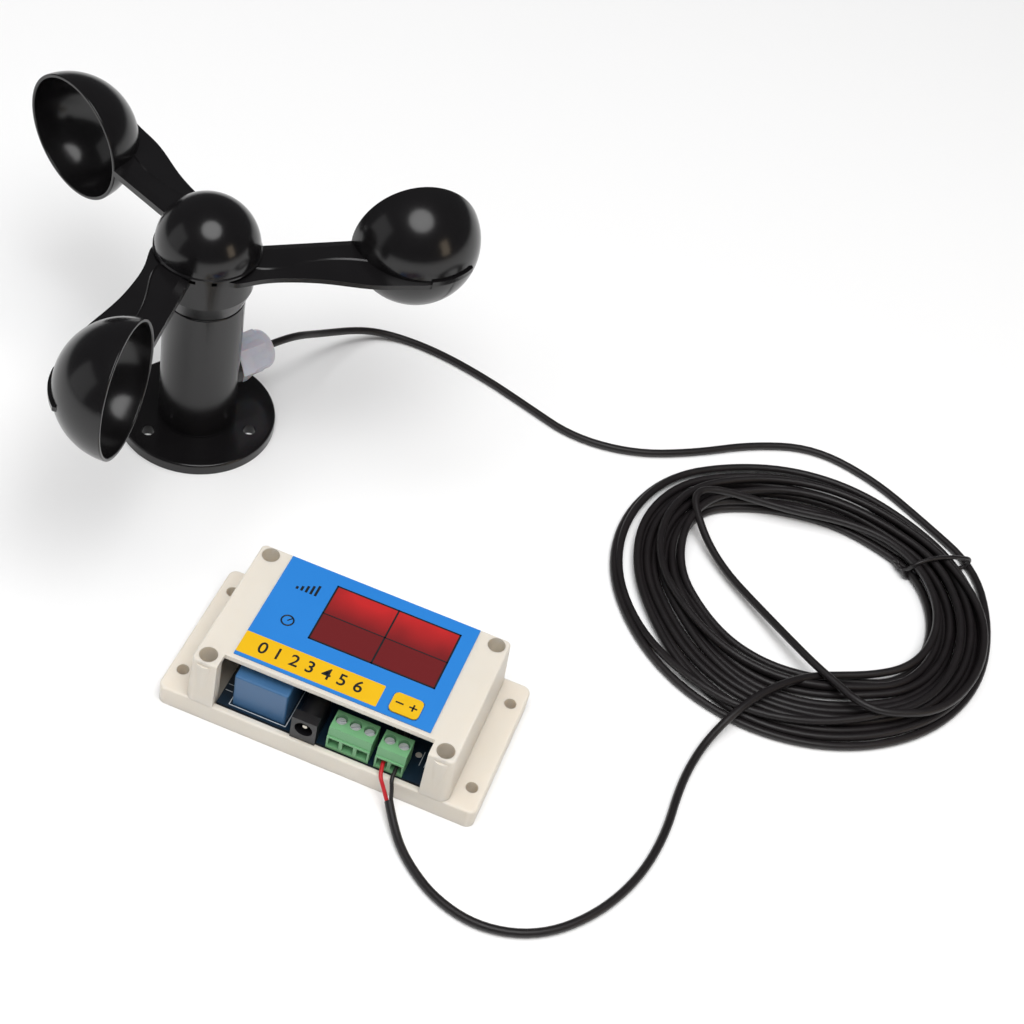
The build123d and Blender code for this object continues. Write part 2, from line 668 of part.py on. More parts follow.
with BuildPart() as rotor_screws:
    with BuildSketch(Plane.XY.offset(DISC_Z)):
        with PolarLocations(CLAMP_SCREW_R, CUP_COUNT, start_angle=CLAMP_AZ):
            Circle(CLAMP_HEAD_D / 2 - SEAT_CLEAR)
    extrude(amount=CLAMP_HEAD_T)
    with BuildSketch(Plane.XY.offset(DISC_Z + CLAMP_HEAD_T)):
        with PolarLocations(CLAMP_SCREW_R, CUP_COUNT, start_angle=CLAMP_AZ):
            Circle(CLAMP_SCREW_D / 2)
    extrude(amount=CLAMP_TOP - DISC_Z - CLAMP_HEAD_T)
rotor_screws.part.label = "rotor_screws"
export_step(rotor_screws.part, "parts/rotor_screws.step")

with BuildPart() as rotor_shaft:
    with BuildSketch(Plane.XY.offset(CARRIER_Z)):
        Circle(SHAFT_D / 2)
    extrude(amount=SEAT_Z + WASHER_T + NUT_T + 1.5 - CARRIER_Z)
    chamfer(rotor_shaft.edges().filter_by(GeomType.CIRCLE), 0.4)
    with BuildSketch(Plane.XY.offset(LOWER_RACE_Z - CLIP_T)):
        Circle(SHAFT_D / 2)
        Circle(SHAFT_D / 2 - 0.4, mode=Mode.SUBTRACT)
    extrude(amount=CLIP_T, mode=Mode.SUBTRACT)
rotor_shaft.part.label = "rotor_shaft"
export_step(rotor_shaft.part, "parts/rotor_shaft.step")

with BuildPart() as shaft_clip:
    with BuildSketch(Plane.XY.offset(LOWER_RACE_Z - CLIP_T)):
        Circle(SHAFT_D)
        Circle(SHAFT_D / 2 - 0.4, mode=Mode.SUBTRACT)
        with Locations((SHAFT_D / 2, 0)):
            Rectangle(SHAFT_D, SHAFT_D * 0.6, mode=Mode.SUBTRACT)
    extrude(amount=CLIP_T)
shaft_clip.part.label = "shaft_clip"
export_step(shaft_clip.part, "parts/shaft_clip.step")

with BuildPart() as bearing_spacer:
    with BuildSketch(Plane.XY.offset(LOWER_RACE_Z + RACE_W)):
        Circle(BOSS_R - 0.3)
        Circle(SHAFT_D / 2, mode=Mode.SUBTRACT)
    extrude(amount=UPPER_RACE_Z - LOWER_RACE_Z - RACE_W)
bearing_spacer.part.label = "bearing_spacer"
export_step(bearing_spacer.part, "parts/bearing_spacer.step")

with BuildPart() as shaft_washer:
    with BuildSketch(Plane.XY.offset(SEAT_Z)):
        Circle(NUT_AF * 0.64)
        Circle(SHAFT_D / 2, mode=Mode.SUBTRACT)
    extrude(amount=WASHER_T)
shaft_washer.part.label = "shaft_washer"
export_step(shaft_washer.part, "parts/shaft_washer.step")

with BuildPart() as shaft_nut:
    with BuildSketch(Plane.XY.offset(SEAT_Z + WASHER_T)):
        RegularPolygon(NUT_AF / 2, 6, major_radius=False)
        Circle(SHAFT_D / 2, mode=Mode.SUBTRACT)
    extrude(amount=NUT_T)
shaft_nut.part.label = "shaft_nut"
export_step(shaft_nut.part, "parts/shaft_nut.step")

with BuildPart() as magnet_carrier:
    with BuildSketch(Plane.XY.offset(CARRIER_Z)):
        Circle(CARRIER_R)
        Circle(SHAFT_D / 2, mode=Mode.SUBTRACT)
    extrude(amount=CARRIER_T)
    with BuildSketch(Plane.XY.offset(CARRIER_Z)):
        with PolarLocations(MAGNET_R, 2):
            Circle(MAGNET_D / 2)
    extrude(amount=MAGNET_T, mode=Mode.SUBTRACT)
magnet_carrier.part.label = "magnet_carrier"
export_step(magnet_carrier.part, "parts/magnet_carrier.step")

with BuildPart() as magnets:
    with BuildSketch(Plane.XY.offset(CARRIER_Z)):
        with PolarLocations(MAGNET_R, 2):
            Circle(MAGNET_D / 2)
    extrude(amount=MAGNET_T)
magnets.part.label = "magnets"
export_step(magnets.part, "parts/magnets.step")

# ---------------------------------------------------------------- display unit
EAR_EDGE = 0.8
EAR_CORE_L = 5.0
EAR_CORE_W = 24.0
FLOOR_Z = CASE_WALL
STANDOFF_PITCH_X = 64.0
STANDOFF_PITCH_Y = 30.0
STANDOFF_D = 5.0
STANDOFF_PIN_D = 2.2
HEAD_SINK = 3.0
INNER_L = COVER_L - 2 * CASE_WALL
INNER_W = BASE_W - 2 * CASE_WALL
KEY_HOLE_D = KEY_STEM_D + 2 * KEY_FREE

with BuildPart() as case_base:
    with BuildSketch(disp_plane(0)):
        RectangleRounded(BASE_L, BASE_W, CORNER_R)
    extrude(amount=BASE_H)
    fillet(case_base.faces().sort_by(Axis.Z)[-1].edges(), EAR_EDGE)
    with BuildSketch(disp_plane(FLOOR_Z)):
        Rectangle(INNER_L, INNER_W)
        with GridLocations(SCREW_PITCH_X, SCREW_PITCH_Y, 2, 2):
            Circle(PILLAR_D / 2, mode=Mode.SUBTRACT)
        with GridLocations(STANDOFF_PITCH_X, STANDOFF_PITCH_Y, 2, 2):
            Circle(STANDOFF_D / 2, mode=Mode.SUBTRACT)
    extrude(amount=BASE_H, mode=Mode.SUBTRACT)
    # the standoffs stop under the board, and their pins stand through it
    with BuildSketch(disp_plane(BOARD_Z)):
        with GridLocations(STANDOFF_PITCH_X, STANDOFF_PITCH_Y, 2, 2):
            Circle(STANDOFF_D / 2)
            Circle(STANDOFF_PIN_D / 2, mode=Mode.SUBTRACT)
    extrude(amount=BASE_H, mode=Mode.SUBTRACT)
    with BuildSketch(disp_plane(0)):
        with GridLocations(EAR_PITCH_X, EAR_PITCH_Y, 2, 2):
            Circle(EAR_HOLE_D / 2)
    extrude(amount=BASE_H, mode=Mode.SUBTRACT)
    with BuildSketch(disp_plane(0)):
        with GridLocations(EAR_PITCH_X, 1, 2, 1):
            Rectangle(EAR_CORE_L, EAR_CORE_W)
    extrude(amount=BASE_H - CASE_WALL, mode=Mode.SUBTRACT)
    with BuildSketch(disp_plane(0)):
        with GridLocations(SCREW_PITCH_X, SCREW_PITCH_Y, 2, 2):
            Circle(CASE_SCREW_D / 2 + 0.1)
    extrude(amount=BASE_H, mode=Mode.SUBTRACT)
    with BuildSketch(disp_plane(0)):
        with GridLocations(SCREW_PITCH_X, SCREW_PITCH_Y, 2, 2):
            Circle(CASE_SCREW_HEAD_D / 2 + SEAT_CLEAR)
    extrude(amount=HEAD_SINK, mode=Mode.SUBTRACT)
case_base.part.label = "case_base"
export_step(case_base.part, "parts/case_base.step")

with BuildPart() as case_cover:
    with BuildSketch(disp_plane(BASE_H)):
        RectangleRounded(COVER_L, BASE_W, CORNER_R)
    extrude(amount=CASE_H - BASE_H, taper=CASE_DRAFT)
    fillet(case_cover.faces().sort_by(Axis.Z)[-1].edges(), 0.8)
    with BuildSketch(disp_plane(BASE_H)):
        Rectangle(INNER_L, INNER_W)
    extrude(amount=COVER_UNDER - BASE_H, taper=CASE_DRAFT, mode=Mode.SUBTRACT)
    with BuildSketch(disp_plane(BASE_H)):
        with GridLocations(SCREW_PITCH_X, SCREW_PITCH_Y, 2, 2):
            Circle(PILLAR_D / 2)
    extrude(amount=COVER_UNDER - BASE_H)
    with BuildSketch(disp_plane(PILLAR_FLOOR)):
        with GridLocations(SCREW_PITCH_X, SCREW_PITCH_Y, 2, 2):
            Circle(PILLAR_BORE_D / 2)
    extrude(amount=CASE_H, mode=Mode.SUBTRACT)
    with BuildSketch(disp_plane(BASE_H)):
        with GridLocations(SCREW_PITCH_X, SCREW_PITCH_Y, 2, 2):
            Circle(CASE_SCREW_D / 2)
    extrude(amount=PILLAR_FLOOR - BASE_H - 1.0, mode=Mode.SUBTRACT)
    # open cut-out along the front
    with BuildSketch(disp_plane(BASE_H)):
        with Locations((0, (NOTCH_BACK - BASE_W) / 2)):
            Rectangle(NOTCH_L, BASE_W + NOTCH_BACK)
    extrude(amount=CASE_H, mode=Mode.SUBTRACT)
    # window with a lip for the red panel, and the hole under the key
    with BuildSketch(disp_plane(CASE_H + LABEL_T - WINDOW_T)):
        with Locations((WINDOW_X, WINDOW_Y)):
            Rectangle(WINDOW_L + 0.2, WINDOW_W + 0.2)
    extrude(amount=CASE_WALL, mode=Mode.SUBTRACT)
    with BuildSketch(disp_plane(COVER_UNDER)):
        with Locations((WINDOW_X, WINDOW_Y)):
            Rectangle(WINDOW_L - 2 * WINDOW_LIP, WINDOW_W - 2 * WINDOW_LIP)
        with Locations((KEY_X, KEY_Y)):
            Circle(KEY_HOLE_D / 2)
    extrude(amount=CASE_WALL, mode=Mode.SUBTRACT)
case_cover.part.label = "case_cover"
export_step(case_cover.part, "parts/case_cover.step")

with BuildPart() as case_screws:
    with BuildSketch(disp_plane(HEAD_SINK - CASE_SCREW_HEAD_T)):
        with GridLocations(SCREW_PITCH_X, SCREW_PITCH_Y, 2, 2):
            Circle(CASE_SCREW_HEAD_D / 2)
    extrude(amount=CASE_SCREW_HEAD_T)
    with BuildSketch(disp_plane(HEAD_SINK)):
        with GridLocations(SCREW_PITCH_X, SCREW_PITCH_Y, 2, 2):
            Circle(CASE_SCREW_D / 2)
    extrude(amount=PILLAR_FLOOR - HEAD_SINK - 2.0)
case_screws.part.label = "case_screws"
export_step(case_screws.part, "parts/case_screws.step")

with BuildPart() as label_panel:
    with BuildSketch(disp_plane(CASE_H)):
        with Locations((0, (LABEL_FRONT + LABEL_BACK) / 2)):
            Rectangle(LABEL_L, LABEL_BACK - LABEL_FRONT)
        with Locations((WINDOW_X, WINDOW_Y)):
            Rectangle(WINDOW_L + 0.2, WINDOW_W + 0.2, mode=Mode.SUBTRACT)
        with Locations((KEY_X, KEY_Y)):
            RectangleRounded(KEY_L + 2 * KEY_FREE, KEY_W + 2 * KEY_FREE, 2.0, mode=Mode.SUBTRACT)
    extrude(amount=LABEL_T)
label_panel.part.label = "label_panel"
export_step(label_panel.part, "parts/label_panel.step")

with BuildPart() as display_window:
    with BuildSketch(disp_plane(CASE_H + LABEL_T - WINDOW_T)):
        with Locations((WINDOW_X, WINDOW_Y)):
            Rectangle(WINDOW_L, WINDOW_W)
    extrude(amount=WINDOW_T)
display_window.part.label = "display_window"
export_step(display_window.part, "parts/display_window.step")

LED_L = 21.0
LED_W = 19.0
LED_T = 8.0
LED_TOP = COVER_UNDER - 0.3
LED_HEADER_W = 2.5
with BuildPart() as led_modules:
    with BuildSketch(disp_plane(LED_TOP - LED_T)):
        with Locations((WINDOW_X, WINDOW_Y)):
            with GridLocations(LED_L + 0.6, 1, 2, 1):
                Rectangle(LED_L, LED_W)
    extrude(amount=LED_T)
    with BuildSketch(disp_plane(BOARD_TOP)):
        with Locations((WINDOW_X, WINDOW_Y)):
            with GridLocations(LED_L + 0.6, 1, 2, 1):
                Rectangle(LED_HEADER_W, LED_W)
    extrude(amount=LED_TOP - LED_T - BOARD_TOP)
led_modules.part.label = "led_modules"
export_step(led_modules.part, "parts/led_modules.step")

with BuildPart() as main_board:
    with BuildSketch(disp_plane(BOARD_Z)):
        Rectangle(BOARD_L, BOARD_W)
        with GridLocations(STANDOFF_PITCH_X, STANDOFF_PITCH_Y, 2, 2):
            Circle(STANDOFF_PIN_D / 2 + 0.15, mode=Mode.SUBTRACT)
    extrude(amount=BOARD_T)
main_board.part.label = "main_board"
export_step(main_board.part, "parts/main_board.step")

with BuildPart() as relay:
    with BuildSketch(disp_plane(BOARD_TOP)):
        with Locations((RELAY_X, RELAY_FRONT + RELAY_W / 2)):
            Rectangle(RELAY_L, RELAY_W)
    extrude(amount=RELAY_H)
    fillet(relay.edges().filter_by(Axis.Z), 0.8)
    fillet(relay.faces().sort_by(Axis.Z)[-1].edges(), 0.6)
relay.part.label = "relay"
export_step(relay.part, "parts/relay.step")

JACK_AXIS_Z = BOARD_TOP + JACK_AXIS_RISE
JACK_FACE_T = 3.6
JACK_REAR_R = 4.2
with BuildPart() as dc_jack:
    with BuildSketch(disp_front(JACK_FRONT + JACK_FACE_T)):
        with Locations((JACK_X, BOARD_TOP + JACK_H / 2)):
            Rectangle(JACK_W, JACK_H)
    extrude(amount=JACK_FACE_T)
    with BuildSketch(disp_front(JACK_FRONT + JACK_L)):
        with Locations((JACK_X, JACK_AXIS_Z)):
            Circle(JACK_REAR_R)
        with Locations((JACK_X, (BOARD_TOP + JACK_AXIS_Z) / 2)):
            Rectangle(2 * JACK_REAR_R, JACK_AXIS_RISE)
    extrude(amount=JACK_L - JACK_FACE_T)
    with BuildSketch(disp_front(JACK_FRONT)):
        with Locations((JACK_X, JACK_AXIS_Z)):
            Circle(JACK_BORE_D / 2)
    extrude(amount=-JACK_BORE_DEPTH, mode=Mode.SUBTRACT)
dc_jack.part.label = "dc_jack"
export_step(dc_jack.part, "parts/dc_jack.step")

with BuildPart() as dc_jack_pin:
    with BuildSketch(disp_front(JACK_FRONT + JACK_BORE_DEPTH)):
        with Locations((JACK_X, JACK_AXIS_Z)):
            Circle(JACK_PIN_D / 2)
    extrude(amount=JACK_BORE_DEPTH - 1.0)
    fillet(dc_jack_pin.faces().sort_by(Axis.Y)[0].edges(), 0.5)
dc_jack_pin.part.label = "dc_jack_pin"
export_step(dc_jack_pin.part, "parts/dc_jack_pin.step")

LIP_T = 0.5
LIP_H = 6.2
TOP_SLOPE = 1.2
SCREW_Y = TERMINAL_FRONT + 5.6
SCREW_HOLE_D = TERMINAL_SCREW_D + 0.5
CLAMP_DEPTH = 4.0
ENTRY_DEPTH = SCREW_Y - TERMINAL_FRONT + CLAMP_DEPTH / 2 + SEAT_CLEAR
ENTRY_Z = BOARD_TOP + ENTRY_RISE
ENTRY_MID = ENTRY_Z + ENTRY_H / 2
TERMINAL_TOP = BOARD_TOP + TERMINAL_H
TERMINALS = {"terminal_3p": (TERMINAL_3_X, 3), "terminal_2p": (TERMINAL_2_X, 2)}
for block_name, (block_x, poles) in TERMINALS.items():
    block_l = poles * POLE_PITCH
    block_side = Plane(
        origin=(DISP_X + block_x - block_l / 2, DISP_Y, 0), x_dir=(0, 1, 0), z_dir=(1, 0, 0)
    )
    with BuildPart() as terminal:
        with BuildSketch(block_side):
            with BuildLine():
                Polyline(
                    (TERMINAL_FRONT, BOARD_TOP),
                    (TERMINAL_FRONT, BOARD_TOP + LIP_H),
                    (TERMINAL_FRONT + LIP_T, BOARD_TOP + LIP_H),
                    (TERMINAL_FRONT + TOP_SLOPE, TERMINAL_TOP),
                    (TERMINAL_FRONT + TERMINAL_DEPTH, TERMINAL_TOP),
                    (TERMINAL_FRONT + TERMINAL_DEPTH, BOARD_TOP),
                    close=True,
                )
            make_face()
        extrude(amount=block_l)
        with BuildSketch(disp_plane(ENTRY_Z + ENTRY_H)):
            with Locations((block_x, SCREW_Y)):
                with GridLocations(POLE_PITCH, 1, poles, 1):
                    Circle(SCREW_HOLE_D / 2)
        extrude(amount=TERMINAL_H, mode=Mode.SUBTRACT)
        with BuildSketch(disp_front(TERMINAL_FRONT)):
            with Locations((block_x, ENTRY_MID)):
                with GridLocations(POLE_PITCH, 1, poles, 1):
                    Rectangle(ENTRY_W, ENTRY_H)
        extrude(amount=-ENTRY_DEPTH, mode=Mode.SUBTRACT)
    terminal.part.label = block_name
    export_step(terminal.part, f"parts/{block_name}.step")

CLAMP_WALL = 0.7
CLAMP_GAP = 2.4
CLAMP_Z = ENTRY_Z + 0.1
CLAMP_H = ENTRY_H - 0.2
SHANK_D = 2.0
POLES_X = [
    block_x + POLE_PITCH * (pole - (poles - 1) / 2)
    for block_x, poles in TERMINALS.values()
    for pole in range(poles)
]
POLE_POINTS = [(pole_x, SCREW_Y) for pole_x in POLES_X]
HEAD_Z = TERMINAL_TOP - 3.0
HEAD_T = 1.6
with BuildPart() as terminal_clamps:
    with BuildSketch(disp_front(SCREW_Y + CLAMP_DEPTH / 2)):
        with Locations(*[(pole_x, CLAMP_Z + CLAMP_H / 2) for pole_x in POLES_X]):
            Rectangle(ENTRY_W - 0.2, CLAMP_H)
        with Locations(*[(pole_x, CLAMP_Z + CLAMP_WALL + CLAMP_GAP / 2) for pole_x in POLES_X]):
            Rectangle(ENTRY_W - 0.2 - 2 * CLAMP_WALL, CLAMP_GAP, mode=Mode.SUBTRACT)
    extrude(amount=CLAMP_DEPTH)
    with BuildSketch(disp_plane(CLAMP_Z + CLAMP_WALL + CLAMP_GAP)):
        with Locations(*POLE_POINTS):
            Circle(SHANK_D / 2)
    extrude(amount=CLAMP_H, mode=Mode.SUBTRACT)
terminal_clamps.part.label = "terminal_clamps"
export_step(terminal_clamps.part, "parts/terminal_clamps.step")

with BuildPart() as terminal_screws:
    with BuildSketch(disp_plane(HEAD_Z)):
        with Locations(*POLE_POINTS):
            Circle(TERMINAL_SCREW_D / 2)
    extrude(amount=HEAD_T)
    with BuildSketch(disp_plane(HEAD_Z + HEAD_T - 0.7)):
        with Locations(*POLE_POINTS):
            Rectangle(TERMINAL_SCREW_D, 0.6, rotation=35)
    extrude(amount=1.0, mode=Mode.SUBTRACT)
    with BuildSketch(disp_plane(CLAMP_Z + CLAMP_WALL + CLAMP_GAP - 0.4)):
        with Locations(*POLE_POINTS):
            Circle(SHANK_D / 2)
    extrude(amount=HEAD_Z - CLAMP_Z - CLAMP_WALL - CLAMP_GAP + 0.4)
terminal_screws.part.label = "terminal_screws"
export_step(terminal_screws.part, "parts/terminal_screws.step")

KEY_Z = CASE_H + KEY_TRAVEL + 0.1
STEM_BOTTOM = COVER_UNDER - 0.6
SWITCH_SIDE = 6.0
SWITCH_H = 4.0
SWITCH_STEM_D = 3.4
with BuildPart() as set_key:
    with BuildSketch(disp_plane(KEY_Z, KEY_X, KEY_Y)):
        RectangleRounded(KEY_L, KEY_W, 1.8)
    extrude(amount=KEY_T)
    with BuildSketch(disp_plane(STEM_BOTTOM, KEY_X, KEY_Y)):
        Circle(KEY_STEM_D / 2)
    extrude(amount=KEY_Z - STEM_BOTTOM)
set_key.part.label = "set_key"
export_step(set_key.part, "parts/set_key.step")

with BuildPart() as set_switch:
    with BuildSketch(disp_plane(BOARD_TOP, KEY_X, KEY_Y)):
        Rectangle(SWITCH_SIDE, SWITCH_SIDE)
    extrude(amount=SWITCH_H)
    with BuildSketch(disp_plane(BOARD_TOP, KEY_X, KEY_Y)):
        Circle(SWITCH_STEM_D / 2)
    extrude(amount=STEM_BOTTOM - KEY_TRAVEL - 0.1 - BOARD_TOP)
set_switch.part.label = "set_switch"
export_step(set_switch.part, "parts/set_switch.step")

with BuildPart() as buzzer:
    with BuildSketch(disp_plane(BOARD_TOP, -24.0, 5.0)):
        Circle(6.0)
    extrude(amount=9.5)
    with BuildSketch(disp_plane(BOARD_TOP + 8.0, -24.0, 5.0)):
        Circle(1.0)
    extrude(amount=2.0, mode=Mode.SUBTRACT)
buzzer.part.label = "buzzer"
export_step(buzzer.part, "parts/buzzer.step")

with BuildPart() as controller_chip:
    with BuildSketch(disp_plane(BOARD_TOP, WINDOW_X, WINDOW_Y)):
        Rectangle(10.0, 7.6)
    extrude(amount=2.4)
    chamfer(controller_chip.faces().sort_by(Axis.Z)[-1].edges(), 0.3)
controller_chip.part.label = "controller_chip"
export_step(controller_chip.part, "parts/controller_chip.step")

with BuildPart() as voltage_regulator:
    with BuildSketch(disp_plane(BOARD_TOP, -8.0, -6.0)):
        Rectangle(10.0, 4.5)
    extrude(amount=9.0)
    with BuildSketch(disp_plane(BOARD_TOP + 9.0, -8.0, -4.4)):
        Rectangle(10.0, 1.3)
    extrude(amount=6.0)
voltage_regulator.part.label = "voltage_regulator"
export_step(voltage_regulator.part, "parts/voltage_regulator.step")

# ---------------------------------------------------------------- cable, laid on the ground
LIE_Z = CABLE_D / 2 + 0.1
LEAD_EXIT = polar(GLAND_END, GLAND_AZ, GLAND_Z)
LEAD_AHEAD = polar(42.0, GLAND_AZ, GLAND_Z)
SENSOR_ROUTE = [
    (LEAD_EXIT.X, LEAD_EXIT.Y, LEAD_EXIT.Z),
    (LEAD_AHEAD.X, LEAD_AHEAD.Y, LEAD_AHEAD.Z),
    (26.5, 53, 14),
    (38, 74, 5),
    (51, 81, LIE_Z),
    (70, 80.8, LIE_Z),
    (92, 76.4, LIE_Z),
    (113, 69.8, LIE_Z),
    (135, 62.6, LIE_Z),
    (160, 66.2, LIE_Z),
    (182, 79, LIE_Z),
    (203, 96, LIE_Z),
    (227, 107.5, LIE_Z),
    (254, 102.5, LIE_Z),
    (279, 89, LIE_Z),
    (302.5, 75, LIE_Z),
    (314, 52, LIE_Z),
    (309, 33, LIE_Z),
]
DISPLAY_ROUTE = [
    (229, -40, LIE_Z),
    (224.5, -58, LIE_Z),
    (222.2, -78, LIE_Z),
    (223.2, -100, LIE_Z),
    (219.5, -121, LIE_Z),
    (210, -140, LIE_Z),
    (196, -154, LIE_Z),
    (178, -159.5, LIE_Z),
    (161, -156, LIE_Z),
    (147.5, -147, LIE_Z),
    (139.4, -138.2, 2.6),
    (134.4, -131.0, 5.2),
]
RED_ROUTE = [
    (133.8, -131.3, 5.1),
    (131.2, -129.2, 8.8),
    (128.3, -126.6, 11.3),
    (127.6, -119.6, 11.9),
]
BLACK_ROUTE = [
    (135.0, -130.7, 5.3),
    (134.0, -128.6, 9.2),
    (132.5, -126.4, 11.5),
    (132.7, -119.6, 11.9),
]
CORDS = {
    "cable_sensor_lead": (SENSOR_ROUTE, CABLE_D),
    "cable_display_lead": (DISPLAY_ROUTE, CABLE_D),
    "red_wire": (RED_ROUTE, CORE_D),
    "black_wire": (BLACK_ROUTE, CORE_D),
}
for cord_name, (cord_route, cord_d) in CORDS.items():
    with BuildPart() as cord:
        with BuildLine():
            FilletPolyline(*cord_route, radius=corner_radii(cord_route, cord_name))
        first_run = Vector(*cord_route[1]) - Vector(*cord_route[0])
        with BuildSketch(Plane(origin=cord_route[0], z_dir=first_run)):
            Circle(cord_d / 2)
        sweep()
    cord.part.label = cord_name
    export_step(cord.part, f"parts/{cord_name}.step")

COIL_CORNER = 3.0
COIL_CENTRE = Vector(COIL_X, COIL_Y, 0)
COIL_SIDES = [
    [COIL_CENTRE + direction(TIE_AZ - COIL_STEP * step) * radius for step, radius in enumerate(side)]
    for side in (COIL_OUTER, COIL_INNER)
]
with BuildPart() as cable_coil:
    for side_points, side_mode in zip(COIL_SIDES, (Mode.ADD, Mode.SUBTRACT)):
        with BuildSketch(Plane.XY.offset(TIE_T)):
            with BuildLine():
                Spline(*side_points, periodic=True)
            make_face()
        extrude(amount=COIL_H, mode=side_mode)
    fillet(cable_coil.edges().filter_by(GeomType.BSPLINE), COIL_CORNER - 0.5)
cable_coil.part.label = "cable_coil"
export_step(cable_coil.part, "parts/cable_coil.step")

with BuildPart() as twist_tie:
    tie_origin = Vector(COIL_X, COIL_Y, TIE_T) + direction(TIE_AZ) * COIL_R
    with BuildSketch(Plane(origin=tie_origin, x_dir=direction(TIE_AZ), z_dir=direction(TIE_AZ - 90))):
        with Locations((0, COIL_H / 2)):
            RectangleRounded(COIL_W + 2 * TIE_T, COIL_H + 2 * TIE_T, COIL_CORNER + TIE_T)
            RectangleRounded(COIL_W, COIL_H, COIL_CORNER, mode=Mode.SUBTRACT)
    extrude(amount=TIE_W / 2, both=True)
twist_tie.part.label = "twist_tie"
export_step(twist_tie.part, "parts/twist_tie.step")
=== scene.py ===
import bpy
import json
from math import cos, radians, sin, sqrt
from mathutils import Matrix, Vector


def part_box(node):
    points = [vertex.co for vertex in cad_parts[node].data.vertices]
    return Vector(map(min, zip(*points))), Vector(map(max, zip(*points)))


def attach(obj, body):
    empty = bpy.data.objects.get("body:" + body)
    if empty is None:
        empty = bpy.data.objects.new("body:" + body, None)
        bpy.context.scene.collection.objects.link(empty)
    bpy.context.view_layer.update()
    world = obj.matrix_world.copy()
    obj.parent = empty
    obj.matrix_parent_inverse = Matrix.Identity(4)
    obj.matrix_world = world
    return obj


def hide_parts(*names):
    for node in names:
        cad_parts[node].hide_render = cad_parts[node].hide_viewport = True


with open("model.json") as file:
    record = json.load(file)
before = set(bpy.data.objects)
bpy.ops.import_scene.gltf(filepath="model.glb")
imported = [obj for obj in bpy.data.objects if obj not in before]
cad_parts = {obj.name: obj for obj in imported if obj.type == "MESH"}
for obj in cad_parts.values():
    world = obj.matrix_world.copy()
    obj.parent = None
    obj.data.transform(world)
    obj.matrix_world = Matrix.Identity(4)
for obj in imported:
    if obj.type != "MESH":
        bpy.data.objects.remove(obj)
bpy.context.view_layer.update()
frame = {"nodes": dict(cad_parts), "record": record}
nodes = frame["nodes"]
MM = 0.001
scene = bpy.context.scene

# ---------------------------------------------------------------- camera
CAMERA_PLACE = (0.20028, -0.45508, 0.50944)
CAMERA_RIGHT = Vector((0.92631, 0.33417, 0.17401))
CAMERA_UP = Vector((-0.36168, 0.65931, 0.65916))
CAMERA_LENS = 63.6

camera_back = CAMERA_RIGHT.cross(CAMERA_UP)
turned = Matrix((CAMERA_RIGHT, CAMERA_UP, camera_back)).transposed().to_4x4()
camera_data = bpy.data.cameras.new("studio_camera")
camera_data.lens = CAMERA_LENS
camera_data.sensor_width = 36.0
camera_data.clip_start = 0.01
camera_data.clip_end = 50.0
camera = bpy.data.objects.new("studio_camera", camera_data)
camera.matrix_world = Matrix.Translation(CAMERA_PLACE) @ turned
scene.collection.objects.link(camera)
scene.camera = camera
scene.view_settings.view_transform = "Standard"


# ---------------------------------------------------------------- colour and node helpers
def sRGB(code, alpha=1.0):
    """Linear colour from an sRGB hex value."""
    parts = [int(code[i:i + 2], 16) / 255 for i in (1, 3, 5)]
    linear = [c / 12.92 if c <= 0.04045 else ((c + 0.055) / 1.055) ** 2.4 for c in parts]
    return (*linear, alpha)


def add_node(material, kind, links=(), **settings):
    """Adds one shader node. A setting is a property or a socket's value; a link is (output, socket)."""
    node = material.node_tree.nodes.new(kind)
    for key, value in settings.items():
        if hasattr(node, key):
            setattr(node, key, value)
    for key, value in settings.items():
        if not hasattr(node, key):
            socket = int(key[1:]) if key[0] == "s" and key[1:].isdigit() else key.replace("_", " ")
            node.inputs[socket].default_value = value
    for output, socket in links:
        material.node_tree.links.new(output, node.inputs[socket])
    return node


def new_finish(name):
    """An empty material with its shader, and the object's own coordinates in metres."""
    material = bpy.data.materials.new(name)
    material.use_nodes = True
    shader = material.node_tree.nodes["Principled BSDF"]
    place = add_node(material, "ShaderNodeTexCoord").outputs["Object"]
    return material, shader, place


def per_mm(size):
    """Noise scale that gives features of a size in millimetres, on coordinates in metres."""
    return 1000.0 / size


def moulded_plastic(name, light, dark, roughness, ior=1.53, mottle=9.0, grain=0.8, grain_height=0.006,
                    rough_spread=0.06, **extra):
    """Injection-moulded plastic: slow colour drift from the flow, uneven gloss, the tool's fine grain."""
    material, shader, place = new_finish(name)
    drift = add_node(material, "ShaderNodeTexNoise", [(place, "Vector")], Scale=per_mm(mottle), Detail=3.0)
    colour = add_node(material, "ShaderNodeMix", [(drift.outputs["Fac"], "Factor")], data_type="RGBA")
    colour.inputs[6].default_value = sRGB(dark)
    colour.inputs[7].default_value = sRGB(light)
    gloss = add_node(material, "ShaderNodeMapRange", [(drift.outputs["Fac"], "Value")],
                     To_Min=roughness - rough_spread / 2, To_Max=roughness + rough_spread)
    fine = add_node(material, "ShaderNodeTexNoise", [(place, "Vector")], Scale=per_mm(grain), Detail=4.0)
    relief = add_node(material, "ShaderNodeBump", [(fine.outputs["Fac"], "Height")],
                      Strength=0.35, Distance=grain_height * MM)
    links = material.node_tree.links
    links.new(colour.outputs[2], shader.inputs["Base Color"])
    links.new(gloss.outputs["Result"], shader.inputs["Roughness"])
    links.new(relief.outputs["Normal"], shader.inputs["Normal"])
    shader.inputs["IOR"].default_value = ior
    for socket, value in extra.items():
        shader.inputs[socket.replace("_", " ")].default_value = value
    return material


